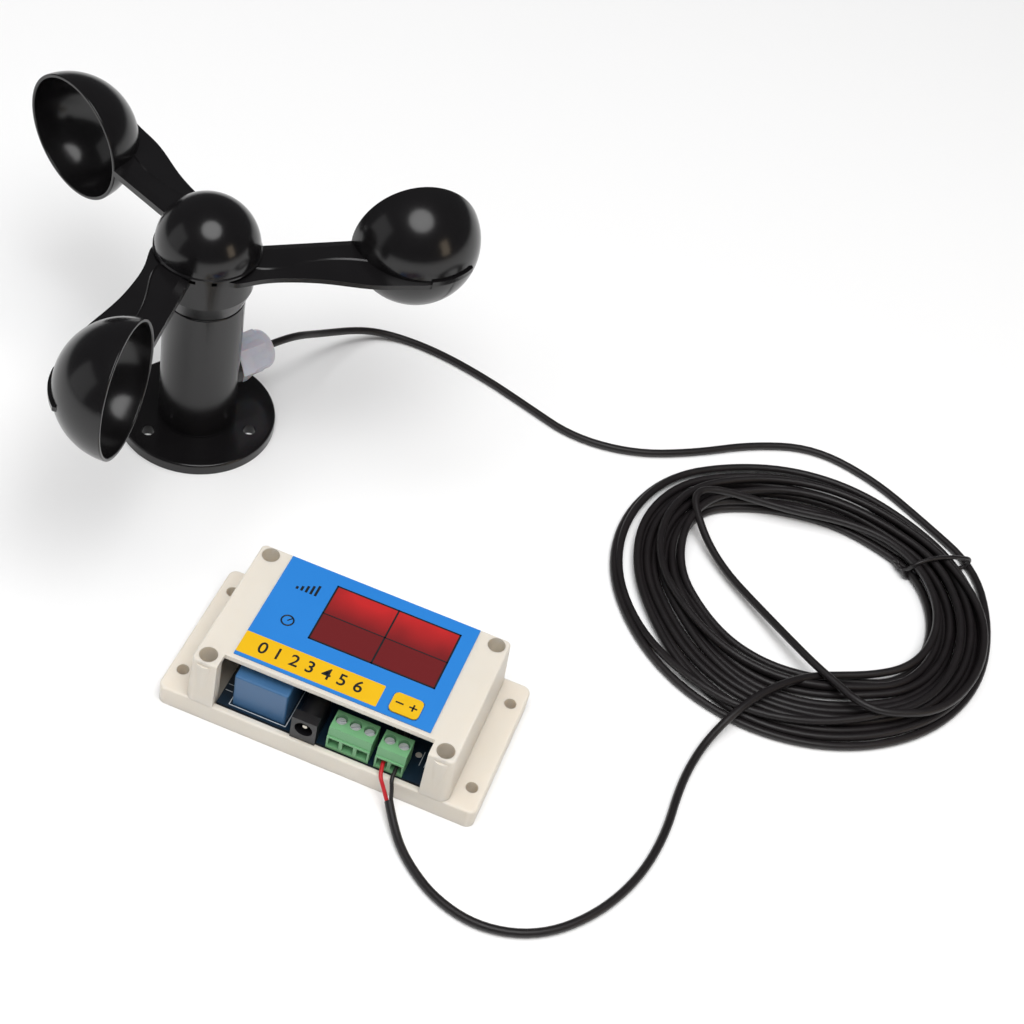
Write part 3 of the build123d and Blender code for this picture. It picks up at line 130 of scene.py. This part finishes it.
def plated_metal(name, light, dark, roughness, scratch=0.25, grain_height=0.004, metallic=1.0):
    """Plated metal: a clean base with fine drawn scratches and duller patches from handling."""
    material, shader, place = new_finish(name)
    stretch = add_node(material, "ShaderNodeMapping", [(place, "Vector")], Scale=(1.0, 8.0, 1.0))
    lines = add_node(material, "ShaderNodeTexNoise", [(stretch.outputs[0], "Vector")],
                     Scale=per_mm(scratch), Detail=3.0)
    patches = add_node(material, "ShaderNodeTexNoise", [(place, "Vector")], Scale=per_mm(1.6), Detail=2.0)
    colour = add_node(material, "ShaderNodeMix", [(patches.outputs["Fac"], "Factor")], data_type="RGBA")
    colour.inputs[6].default_value = sRGB(dark)
    colour.inputs[7].default_value = sRGB(light)
    gloss = add_node(material, "ShaderNodeMapRange", [(patches.outputs["Fac"], "Value")],
                     To_Min=roughness - 0.05, To_Max=roughness + 0.12)
    relief = add_node(material, "ShaderNodeBump", [(lines.outputs["Fac"], "Height")],
                      Strength=0.5, Distance=grain_height * MM)
    links = material.node_tree.links
    links.new(colour.outputs[2], shader.inputs["Base Color"])
    links.new(gloss.outputs["Result"], shader.inputs["Roughness"])
    links.new(relief.outputs["Normal"], shader.inputs["Normal"])
    shader.inputs["Metallic"].default_value = metallic
    return material


# ---------------------------------------------------------------- finishes
# Black ABS, moulded in a polished tool: near-black, a clear gloss that shows the softboxes.
abs_black = moulded_plastic("abs_black_gloss", "#161516", "#100F10", 0.18, mottle=14.0, grain=1.1,
                            grain_height=0.004, rough_spread=0.04)
# Ivory ABS, moulded in a spark-eroded tool: warm white with a fine satin grain.
abs_ivory = moulded_plastic("abs_ivory_satin", "#E6DED2", "#DDD4C6", 0.42, mottle=22.0, grain=0.45,
                            grain_height=0.02, Subsurface_Weight=0.5, Subsurface_Scale=0.005,
                            Subsurface_Radius=(1.0, 0.9, 0.78))
# Natural nylon 6, unpigmented: cloudy, light passes into it and scatters.
nylon_natural = moulded_plastic("nylon_natural", "#D2D2DC", "#BFC0CC", 0.33, mottle=5.0, grain=0.7,
                                grain_height=0.015, Subsurface_Weight=0.55, Subsurface_Scale=0.004)
# PVC jacket, extruded: matte brown-black with a faint drawn sheen.
pvc_jacket = moulded_plastic("pvc_jacket_black", "#1E1A1B", "#151314", 0.42, mottle=6.0, grain=0.5,
                             grain_height=0.02, rough_spread=0.1)
pvc_red = moulded_plastic("pvc_core_red", "#C4222B", "#A81A22", 0.34, mottle=3.0)
pvc_core_black = moulded_plastic("pvc_core_black", "#222021", "#191718", 0.36, mottle=3.0)
# Plastic-coated tie wire: soft black PVC over steel.
tie_coating = moulded_plastic("tie_coating_black", "#211E1F", "#171516", 0.4, mottle=2.0)
# Polyester label film, screen-printed on the back: even ink under a satin lacquer.
label_print = moulded_plastic("label_film_blue", "#2C82D3", "#267ACB", 0.33, mottle=30.0, grain=0.35,
                              grain_height=0.004, rough_spread=0.03)
ink_yellow = moulded_plastic("label_ink_yellow", "#EAB916", "#E2B00C", 0.36, mottle=12.0, grain=0.3)
key_yellow = moulded_plastic("key_film_yellow", "#EABC1C", "#E0AF10", 0.34, mottle=6.0, grain=0.3)
ink_black = moulded_plastic("label_ink_black", "#1E2226", "#15181B", 0.45, mottle=2.0, grain=0.2)
ink_white = moulded_plastic("board_ink_white", "#D8DDE2", "#BFC6CC", 0.5, mottle=1.5, grain=0.2)
# Epoxy solder mask over copper: dark blue, wet-looking.
solder_mask = moulded_plastic("solder_mask_navy", "#10283A", "#0B1D2C", 0.28, mottle=4.0, grain=0.6)
relay_case = moulded_plastic("relay_case_blue", "#3F6A94", "#35608A", 0.36, mottle=7.0, grain=0.5)
jack_black = moulded_plastic("jack_pbt_black", "#17161A", "#0F0F12", 0.38, mottle=4.0, grain=0.4)
terminal_green = moulded_plastic("terminal_pa66_green", "#76AE7E", "#68A071", 0.38, mottle=6.0,
                                 grain=0.5)
led_white = moulded_plastic("led_module_grey", "#3A2A2C", "#2C2022", 0.5, mottle=4.0)
rubber_black = moulded_plastic("rubber_nbr_black", "#1C1C1C", "#121212", 0.65, mottle=3.0)
chip_black = moulded_plastic("chip_epoxy_black", "#202124", "#17181A", 0.55, mottle=2.0, grain=0.2)
reed_glass = moulded_plastic("reed_glass_green", "#BFD6C8", "#A9C6B6", 0.08, ior=1.5, mottle=4.0,
                             Transmission_Weight=0.6)
zinc_steel = plated_metal("steel_zinc_plated", "#E6E8EA", "#C9CCD0", 0.3, metallic=0.45)
bearing_steel = plated_metal("steel_bearing_ground", "#C9CACC", "#A5A7AA", 0.18, scratch=0.15)
brass_nickel = plated_metal("brass_nickel_plated", "#D9D4C8", "#B4AFA2", 0.22)
magnet_nickel = plated_metal("magnet_nickel_plated", "#CFD0D1", "#AEB0B2", 0.16)

# Red acrylic sheet over the digits, with painted light: the far half is painted lighter as if lit, the
# near half painted dark as painted shade.
acrylic_red, acrylic_shader, acrylic_place = new_finish("acrylic_red_with_painted_light")
acrylic_axes = add_node(acrylic_red, "ShaderNodeSeparateXYZ", [(acrylic_place, "Vector")])
WINDOW_SPLIT = -0.0881  # metres along Y, the line between the digit rows
WINDOW_FAR = -0.0750
# Painted light: the red lightens along Y across the far half of the window; the near half stays in painted
# shade.
painted_light_ramp = add_node(acrylic_red, "ShaderNodeMapRange", [(acrylic_axes.outputs["Y"], "Value")],
                        From_Min=WINDOW_SPLIT + 0.001, From_Max=WINDOW_FAR, To_Min=0.12, To_Max=0.95)
acrylic_row = add_node(acrylic_red, "ShaderNodeMath", [(acrylic_axes.outputs["Y"], 0)],
                       operation="GREATER_THAN", s1=WINDOW_SPLIT)
painted_light_half = add_node(acrylic_red, "ShaderNodeMath",
                         [(painted_light_ramp.outputs["Result"], 0), (acrylic_row.outputs[0], 1)],
                         operation="MULTIPLY")
acrylic_cloud = add_node(acrylic_red, "ShaderNodeTexNoise", [(acrylic_place, "Vector")],
                         Scale=per_mm(14.0), Detail=1.0)
acrylic_soft = add_node(acrylic_red, "ShaderNodeMath",
                        [(painted_light_half.outputs[0], 0), (acrylic_cloud.outputs["Fac"], 1)],
                        operation="MULTIPLY")
acrylic_mix = add_node(acrylic_red, "ShaderNodeMapRange", [(acrylic_soft.outputs[0], "Value")],
                       From_Max=0.5)
acrylic_colour = add_node(acrylic_red, "ShaderNodeMix", [(acrylic_mix.outputs["Result"], "Factor")],
                          data_type="RGBA")
# Dark red for the painted shade, light red for the painted light.
acrylic_colour.inputs[6].default_value = sRGB("#6B2224")
acrylic_colour.inputs[7].default_value = sRGB("#BC2A2B")
acrylic_red.node_tree.links.new(acrylic_colour.outputs[2], acrylic_shader.inputs["Base Color"])
acrylic_shader.inputs["Roughness"].default_value = 0.22
acrylic_shader.inputs["IOR"].default_value = 1.49

SLOT_FINISH = {
    "abs_black": abs_black, "abs_ivory": abs_ivory, "nylon_white": nylon_natural,
    "pvc_black": pvc_jacket, "pvc_red": pvc_red, "core_black": pvc_core_black,
    "tie_black": tie_coating, "label_blue": label_print, "window_red": acrylic_red,
    "key_yellow": key_yellow, "led_white": led_white, "board_dark": solder_mask,
    "relay_blue": relay_case, "jack_black": jack_black, "terminal_green": terminal_green,
    "zinc_steel": zinc_steel, "bearing_steel": bearing_steel, "brass_nickel": brass_nickel,
    "rubber_black": rubber_black, "chip_black": chip_black, "reed_glass": reed_glass,
    "magnet_nickel": magnet_nickel,
}


# ---------------------------------------------------------------- how pieces are made
def deselect_all():
    if bpy.context.object and bpy.context.object.mode != "OBJECT":
        bpy.ops.object.mode_set(mode="OBJECT")
    bpy.ops.object.select_all(action="DESELECT")


def finish_piece(piece, name, material, body="stand"):
    piece.name = name
    piece.data.name = name
    piece.data.materials.clear()
    piece.data.materials.append(material)
    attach(piece, body)
    return piece


def settle(piece):
    """Puts a piece's place, turn and size into its mesh."""
    deselect_all()
    piece.select_set(True)
    bpy.context.view_layer.objects.active = piece
    bpy.ops.object.transform_apply(location=True, rotation=True, scale=True)
    return piece


def rounded_bar(centre, size, corner=0.0, turn=0.0):
    """A thin flat bar in millimetres with rounded plan corners, such as a printed stroke."""
    deselect_all()
    bpy.ops.mesh.primitive_cube_add(size=1.0, location=[c * MM for c in centre],
                                    scale=[s * MM for s in size], rotation=(0, 0, radians(turn)))
    bar = settle(bpy.context.object)
    if corner:
        corners = bar.data.vertices
        upright = [e.index for e in bar.data.edges
                   if abs(corners[e.vertices[0]].co.z - corners[e.vertices[1]].co.z) > 1e-7]
        bpy.ops.object.mode_set(mode="EDIT")
        bpy.ops.mesh.select_mode(type="EDGE")
        bpy.ops.mesh.select_all(action="DESELECT")
        bpy.ops.object.mode_set(mode="OBJECT")
        # Leaving edit mode rebuilds the mesh, so its edges are looked up again by number.
        for index in upright:
            bar.data.edges[index].select = True
        bpy.ops.object.mode_set(mode="EDIT")
        bpy.ops.mesh.bevel(offset=corner * MM, segments=4, affect="EDGES")
        bpy.ops.object.mode_set(mode="OBJECT")
    return bar


def join(parts):
    deselect_all()
    for part in parts:
        part.select_set(True)
    bpy.context.view_layer.objects.active = parts[0]
    bpy.ops.object.join()
    return settle(parts[0])


def number(text, centre, height, depth):
    """A number in the plain built-in face, as a mesh, its centre at a point in millimetres."""
    deselect_all()
    bpy.ops.object.text_add(location=[c * MM for c in centre])
    mark = bpy.context.object
    mark.data.body = text
    mark.data.size = height * MM * 1.38
    mark.data.align_x = "CENTER"
    mark.data.align_y = "CENTER"
    mark.data.extrude = depth * MM / 2
    mark.data.offset = 0.00008
    bpy.ops.object.convert(target="MESH")
    return settle(bpy.context.object)


def smooth_curve(name, points, radius, round_steps=6, steps=4):
    """One open NURBS line through millimetre control points, with a round section."""
    curve = bpy.data.curves.new(name, "CURVE")
    curve.dimensions = "3D"
    spline = curve.splines.new("NURBS")
    spline.points.add(len(points) - 1)
    for point, (x, y, z) in zip(spline.points, points):
        point.co = (x * MM, y * MM, z * MM, 1.0)
    spline.order_u = 3
    spline.use_endpoint_u = True
    spline.resolution_u = steps
    curve.bevel_depth = radius * MM
    curve.bevel_resolution = round_steps
    curve.use_fill_caps = True
    piece = bpy.data.objects.new(name, curve)
    scene.collection.objects.link(piece)
    return piece


# ---------------------------------------------------------------- cable
CABLE_D = 3.0
LIE_Z = CABLE_D / 2 + 0.1
GLAND_AZ = radians(60.0)
GLAND_END = 30.8
GLAND_AHEAD = 42
GLAND_Z = 23.5
SENSOR_LEAD = [
    (GLAND_END * cos(GLAND_AZ), GLAND_END * sin(GLAND_AZ), GLAND_Z),
    (GLAND_AHEAD * cos(GLAND_AZ), GLAND_AHEAD * sin(GLAND_AZ), GLAND_Z),
    (26.5, 53, 14),
    (38, 74, 5),
    (51, 81, LIE_Z),
    (70, 80.8, LIE_Z),
    (92, 76.4, LIE_Z),
    (113, 69.8, LIE_Z),
    (135, 62.6, LIE_Z),
    (160, 66.2, LIE_Z),
    (182, 79, LIE_Z),
    (203, 96, LIE_Z),
    (227, 107.5, LIE_Z),
    (254, 102.5, LIE_Z),
    (279, 89, LIE_Z),
    (302.5, 75, LIE_Z),
]
# The last turn leaves the bundle, cuts across the middle, and comes back along the far inner edge.
LOOSE_TURN = [
    (283.8, -19.6, 9.3),
    (272.4, -20.1, 9.3),
    (262.0, -14.3, 8.6),
    (252.3, -8.9, 8.1),
    (239.2, 1.1, 6.2),
    (224.8, 12.2, 4.2),
    (212.3, 21.4, 3.4),
    (201.5, 31.1, 4.6),
    (193.2, 41.3, 7.6),
    (189.5, 48.0, 9.6),
    (191.7, 53.2, 10.0),
    (200.0, 57.2, 9.4),
    (211.9, 60.8, 7.2),
    (227.9, 63.8, 6.2),
    (247.7, 68.6, 6.2),
    (266.6, 67.5, 6.8),
    (280.5, 58.6, 7.6),
    (289.5, 46.0, 7.4),
    (293.2, 32.0, 7.0),
    (291.4, 18.0, 6.4),
    (285.5, 7.3, 5.6),
    (275.2, -0.6, 4.9),
    (264.4, -6.4, 4.7),
    (254.4, -12.0, 5.2),
    (245.6, -21.6, 7.6),
    (237.0, -33.2, 8.0),
    (231.8, -43.0, 7.2),
]
DISPLAY_LEAD = [
    (227.6, -51.5, 4.2),
    (224.2, -62, 2.0),
    (222.2, -78, LIE_Z),
    (223.2, -100, LIE_Z),
    (219.5, -121, LIE_Z),
    (210, -140, LIE_Z),
    (196, -154, LIE_Z),
    (178, -159.5, LIE_Z),
    (161, -156, LIE_Z),
    (147.5, -147, LIE_Z),
    (139.4, -138.2, 2.6),
    (134.4, -131.0, 5.2),
]
COIL_X = 240.0
COIL_Y = 26.0
TIE_AZ = 39.0
TURN_STEPS = 16
# Inner and outer edge of the coil every 30 degrees, clockwise from the tie.
INNER_EDGE = [50.0, 52.0, 49.5, 38.5, 35.5, 36.0, 38.0, 45.0, 50.0, 43.0, 40.0, 42.5]
OUTER_EDGE = [73.0, 76.5, 73.5, 70.5, 69.5, 71.5, 72.0, 74.0, 73.5, 68.5, 67.5, 68.5]
# How each turn wanders: (turns from the tie, share of the coil's width, layer).
LANES = [
    (0.00, 1.00, 0), (0.72, 1.00, 0), (0.94, 0.82, 0), (1.28, 0.80, 0), (1.70, 0.60, 0),
    (2.28, 0.60, 0), (2.70, 0.40, 0), (3.28, 0.40, 0), (3.70, 0.20, 0), (4.28, 0.20, 0),
    (4.70, 0.00, 0), (5.46, 0.00, 0), (5.64, 0.05, 2), (5.84, 0.34, 2), (6.05, 0.38, 2),
    (6.22, 0.68, 2), (6.42, 0.90, 2), (6.50, 0.90, 0), (6.68, 0.92, 1), (6.80, 0.90, 1),
    (7.28, 0.90, 1), (7.70, 0.70, 1), (8.28, 0.70, 1), (8.70, 0.50, 1), (9.28, 0.50, 1),
    (9.70, 0.30, 1), (10.28, 0.30, 1), (10.70, 0.10, 1), (11.16, 0.10, 1), (11.32, 0.22, 2),
    (11.66, 0.42, 2), (11.98, 0.62, 2), (12.10, 0.95, 2), (12.19, 0.96, 2.5),
]


# The outermost strand stands a little off the bundle here, in degrees clockwise from the tie.
GAP_AT = 182.0
GAP_HALF = 42.0
GAP_SQUEEZE = 0.11
LANES_ACROSS = 10
STRAND_STEP = 3.1  # centre to centre of two strands that touch
FREE_LANE = 0.86  # strands outside this share of the width aren't pushed inwards
SWAYS = [(0.5, 9.7, 0.0), (0.35, 23.0, 1.0)]  # how the turns waver: size, rate, start
TIE_LIFT = 0.9
TIE_LIFT_HALF = 40
CURVE_CUT = 0.981  # the line runs inside its control points by this share


def ease(share):
    return share * share * (3 - 2 * share)


def edge_radius(edge, clockwise):
    """Edge of the coil at an angle clockwise from the tie, eased between the measured angles."""
    place = (clockwise % 360) / 30
    before = int(place)
    share = ease(place - before)
    return edge[before] * (1 - share) + edge[(before + 1) % 12] * share


def lane_at(turns):
    for (start, lane_a, layer_a), (end, lane_b, layer_b) in zip(LANES, LANES[1:]):
        if start <= turns <= end:
            share = ease((turns - start) / (end - start))
            return lane_a + (lane_b - lane_a) * share, layer_a + (layer_b - layer_a) * share
    return LANES[-1][1:]


def coil_point(turns):
    """Place of the cable after a number of turns from the tie, clockwise."""
    clockwise = turns * 360
    lane, layer = lane_at(turns)
    from_gap = clockwise % 360 - GAP_AT
    squeeze = 1 - GAP_SQUEEZE * max(0.0, 1 - (from_gap / GAP_HALF) ** 2)
    inner = edge_radius(INNER_EDGE, clockwise) + CABLE_D / 2
    outer = edge_radius(OUTER_EDGE, clockwise) - CABLE_D / 2
    pitch = (outer - inner) / LANES_ACROSS * squeeze
    if lane < FREE_LANE:
        lane = lane * squeeze
    radius = inner + (outer - inner) * lane
    radius += sum(size * sin(turns * rate + start) for size, rate, start in SWAYS)
    nest = sqrt(max(0.0, STRAND_STEP ** 2 - pitch ** 2))
    height = LIE_Z + min(layer, 1) * nest + max(0.0, layer - 1) * STRAND_STEP
    at_tie = (clockwise + 180) % 360 - 180
    height += TIE_LIFT * max(0.0, 1 - abs(at_tie) / TIE_LIFT_HALF) ** 2
    angle = radians(TIE_AZ - clockwise)
    radius /= CURVE_CUT
    return (COIL_X + radius * cos(angle), COIL_Y + radius * sin(angle), height)


first_step = 1
last_step = int(LANES[-1][0] * TURN_STEPS)
coil = [coil_point(step / TURN_STEPS) for step in range(first_step, last_step + 1)]
cable_route = SENSOR_LEAD + coil + LOOSE_TURN + DISPLAY_LEAD
cable = smooth_curve("cable", cable_route, CABLE_D / 2, steps=6)
finish_piece(cable, "cable", pvc_jacket)
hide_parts("cable_sensor_lead", "cable_coil", "cable_display_lead")

CORE_D = 1.4
red_core = smooth_curve("red_core", [
    (134.2, -131.6, 4.9), (133.8, -131.3, 5.1), (131.2, -129.2, 8.8), (128.3, -126.6, 11.3),
    (127.6, -119.6, 11.9),
], CORE_D / 2, steps=12)
finish_piece(red_core, "red_core", pvc_red)
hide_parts("red_wire")
black_core = smooth_curve("black_core", [
    (135.3, -131.0, 5.1), (135.0, -130.7, 5.3), (134.0, -128.6, 9.2), (132.5, -126.4, 11.5),
    (132.7, -119.6, 11.9),
], CORE_D / 2, steps=12)
finish_piece(black_core, "black_core", pvc_core_black)
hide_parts("black_wire")


# ---------------------------------------------------------------- twist tie round the coil
def tie_point(out, up, along=0.0):
    """Point in the tie's plane: distance from the coil's axis, height, and millimetres along the turns."""
    angle = radians(TIE_AZ)
    return (COIL_X + out * cos(angle) - along * sin(angle),
            COIL_Y + out * sin(angle) + along * cos(angle), up)


TIE_R = 0.85
tie_route = [
    tie_point(47.0, 2.2, 7.0), tie_point(46.3, 3.6, 5.2), tie_point(47.6, 2.6, 3.6),
    tie_point(47.4, 4.2, 2.0), tie_point(48.2, 5.8, 0.6), tie_point(49.6, 9.3, 0.0),
    tie_point(56.0, 10.6, 0.2), tie_point(64.0, 10.4, 0.0), tie_point(71.5, 8.4, -0.2),
    tie_point(76.2, 6.4, 0.0), tie_point(76.4, 2.4, 0.3), tie_point(73.2, 0.8, 0.2),
    tie_point(60.0, 0.75, 0.0), tie_point(50.0, 0.75, 0.0), tie_point(47.6, 2.0, 0.4),
    tie_point(47.0, 4.6, 1.6), tie_point(48.0, 3.2, 3.2), tie_point(46.6, 2.4, 4.6),
    tie_point(47.4, 4.0, 6.4), tie_point(46.4, 3.4, 8.2),
]
tie = smooth_curve("twist_tie_wire", tie_route, TIE_R, steps=8)
finish_piece(tie, "twist_tie_wire", tie_coating)
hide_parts("twist_tie")

# ---------------------------------------------------------------- printing on the display unit
display_low, display_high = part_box("display_window")
label_low, label_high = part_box("label_panel")
window_u = (display_low.x + display_high.x) / 2 / MM
window_v = (display_low.y + display_high.y) / 2 / MM
window_l = (display_high.x - display_low.x) / MM
window_w = (display_high.y - display_low.y) / MM
FILM_TOP = label_high.z / MM
INK_T = 0.05
INK_Z = FILM_TOP + INK_T / 2
DISP_X = (label_low.x + label_high.x) / 2 / MM
DISP_Y = -97.0

BANNER_Y = DISP_Y - 14.1
banner = rounded_bar((DISP_X - 10.0, BANNER_Y, INK_Z), (50.0, 9.2, INK_T), corner=0.4)
finish_piece(banner, "label_banner", ink_yellow)
NUMBER_H = 4.8
SCALE_X = [-27.3, -21.9, -15.9, -10.3, -4.4, 1.1, 6.9]
scale_marks = [
    number(str(i), (DISP_X + u, BANNER_Y, INK_Z + INK_T), NUMBER_H, INK_T)
    for i, u in enumerate(SCALE_X)
]
scale_numbers = join(scale_marks)
finish_piece(scale_numbers, "label_scale_numbers", ink_black)

LINE = 0.55
outline = [
    rounded_bar((window_u, window_v + side * (window_w / 2 - LINE / 2), INK_Z), (window_l, LINE, INK_T))
    for side in (-1, 1)
] + [
    rounded_bar((window_u + side * (window_l / 2 - LINE / 2), window_v, INK_Z), (LINE, window_w, INK_T))
    for side in (-1, 1)
] + [
    rounded_bar((window_u, DISP_Y + 8.9, INK_Z), (window_l, 0.4, INK_T)),
    rounded_bar((window_u, window_v, INK_Z), (0.6, window_w, INK_T)),
]
window_lines = join(outline)
finish_piece(window_lines, "window_outline", ink_black)

# Two small legends beside the window: rising bars for force, a dial for speed.
bars = [
    rounded_bar((DISP_X - 28.0 + 1.7 * i, DISP_Y + 14.8 + 0.45 * i, INK_Z), (0.9, 1.2 + 0.9 * i, INK_T))
    for i in range(5)
]
deselect_all()
bpy.ops.mesh.primitive_torus_add(
    location=((DISP_X - 25.0) * MM, DISP_Y * MM + 0.0004, INK_Z * MM), major_radius=0.0021,
    minor_radius=0.00028, major_segments=40, minor_segments=8)
dial_ring = settle(bpy.context.object)
dial = [
    dial_ring,
    rounded_bar((DISP_X - 24.4, DISP_Y + 1.1, INK_Z), (0.45, 2.0, INK_T), turn=-40),
]
legends = join(bars + dial)
finish_piece(legends, "label_legends", ink_black)

key_low, key_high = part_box("set_key")
KEY_TOP = key_high.z / MM + INK_T / 2
key_x = (key_low.x + key_high.x) / 2 / MM
key_y = (key_low.y + key_high.y) / 2 / MM
key_strokes = [
    rounded_bar((key_x - 2.4, key_y, KEY_TOP), (2.8, 0.6, INK_T)),
    rounded_bar((key_x + 2.4, key_y, KEY_TOP), (2.8, 0.6, INK_T)),
    rounded_bar((key_x + 2.4, key_y, KEY_TOP), (0.6, 2.8, INK_T)),
]
key_mark = join(key_strokes)
finish_piece(key_mark, "key_mark", ink_black, body="key")

# The film's print runs on under the key, so the gap round the key stays blue.
WELL_OUT = 0.32
WELL_IN = 0.6
WELL_Z = label_low.z / MM + INK_T / 2
key_l = (key_high.x - key_low.x) / MM
key_w = (key_high.y - key_low.y) / MM
well_w = WELL_OUT + WELL_IN
well_shift = (WELL_OUT - WELL_IN) / 2
key_well = join([
    rounded_bar((key_x, key_y + side * (key_w / 2 + well_shift), WELL_Z),
                (key_l + 2 * WELL_OUT, well_w, INK_T))
    for side in (-1, 1)
] + [
    rounded_bar((key_x + side * (key_l / 2 + well_shift), key_y, WELL_Z),
                (well_w, key_w + 2 * WELL_OUT, INK_T))
    for side in (-1, 1)
])
finish_piece(key_well, "key_well", label_print)

# ---------------------------------------------------------------- printing on the board and the relay
board_low, board_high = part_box("main_board")
relay_low, relay_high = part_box("relay")
BOARD_INK_Z = board_high.z / MM + INK_T / 2
SILK_W = 0.25
SILK_GAP = 0.7
r_x0, r_x1 = relay_low.x / MM - SILK_GAP, relay_high.x / MM + SILK_GAP
r_y0, r_y1 = relay_low.y / MM - SILK_GAP, relay_high.y / MM + SILK_GAP
silk = [
    rounded_bar(((r_x0 + r_x1) / 2, line_y, BOARD_INK_Z), (r_x1 - r_x0, SILK_W, INK_T))
    for line_y in (r_y0, r_y1)
] + [
    rounded_bar((line_x, (r_y0 + r_y1) / 2, BOARD_INK_Z), (SILK_W, r_y1 - r_y0, INK_T))
    for line_x in (r_x0, r_x1)
] + [
    rounded_bar((DISP_X + u, DISP_Y - 16.0, BOARD_INK_Z), (SILK_W, 6.0, INK_T)) for u in (33.6, 35.4)
] + [
    rounded_bar((DISP_X - 35.2, DISP_Y + v, BOARD_INK_Z), (2.6, SILK_W, INK_T)) for v in (-20.0, -17.4)
]
silkscreen = join(silk)
finish_piece(silkscreen, "board_silkscreen", ink_white)

# ---------------------------------------------------------------- finishes on the CAD nodes
record_slot = {entry["node"]: entry["material_slot"] for entry in frame["record"]["subparts"]}
for node_name, node_object in nodes.items():
    finish = SLOT_FINISH.get(record_slot.get(node_name))
    if finish:
        node_object.data.materials.clear()
        node_object.data.materials.append(finish)

# ---------------------------------------------------------------- floor, light
floor_paint, floor_shader, floor_place = new_finish("floor_white")
floor_noise = add_node(floor_paint, "ShaderNodeTexNoise", [(floor_place, "Vector")], Scale=2.0)
floor_colour = add_node(floor_paint, "ShaderNodeMix", [(floor_noise.outputs["Fac"], "Factor")],
                        data_type="RGBA")
floor_colour.inputs[6].default_value = sRGB("#F4F4F4")
floor_colour.inputs[7].default_value = sRGB("#F7F7F7")
floor_paint.node_tree.links.new(floor_colour.outputs[2], floor_shader.inputs["Base Color"])
floor_shader.inputs["Roughness"].default_value = 0.9
deselect_all()
bpy.ops.mesh.primitive_plane_add(size=12.0, location=(0.1, 0.0, 0.0))
floor = bpy.context.object
floor.name = "floor"
floor.data.materials.append(floor_paint)

AIM = Vector((0.10, -0.02, 0.05))


def softbox(name, direction, distance, power, size, size_y=None, colour="#FFFFFF", in_gloss=True):
    """An area light at a distance along a direction, facing the object."""
    lamp = bpy.data.lights.new(name, "AREA")
    lamp.energy = power
    lamp.color = sRGB(colour)[:3]
    lamp.shape = "RECTANGLE" if size_y else "DISK"
    lamp.size = size
    if size_y:
        lamp.size_y = size_y
    box = bpy.data.objects.new(name, lamp)
    away = Vector(direction).normalized()
    box.location = AIM + away * distance
    box.rotation_euler = away.to_track_quat("Z", "Y").to_euler()
    box.visible_glossy = in_gloss
    scene.collection.objects.link(box)
    return box


softbox("overhead_softbox", (0.15, -0.24, 0.96), 1.45, 9.5, 1.05)
softbox("left_softbox", (-0.80, -0.50, 0.33), 1.5, 1.4, 0.95, 1.0)
softbox("right_window", (0.93, -0.22, 0.31), 1.5, 1.3, 0.38, 0.62, colour="#FFE9CC")
softbox("ceiling_fill", (0.0, -0.15, 1.0), 2.6, 76.0, 3.4, 3.4, in_gloss=False)

world = bpy.data.worlds.new("studio_world")
scene.world = world
world.use_nodes = True
backdrop = world.node_tree.nodes["Background"]
WORLD_IN_GLOSS = (0.07, 0.07, 0.073, 1.0)
WORLD_BEHIND = (0.95, 0.95, 0.95, 1.0)
ray = add_node(world, "ShaderNodeLightPath")
blend = add_node(world, "ShaderNodeMix", [(ray.outputs["Is Camera Ray"], 0)], data_type="RGBA")
blend.inputs[6].default_value = WORLD_IN_GLOSS
blend.inputs[7].default_value = WORLD_BEHIND
world.node_tree.links.new(blend.outputs[2], backdrop.inputs["Color"])
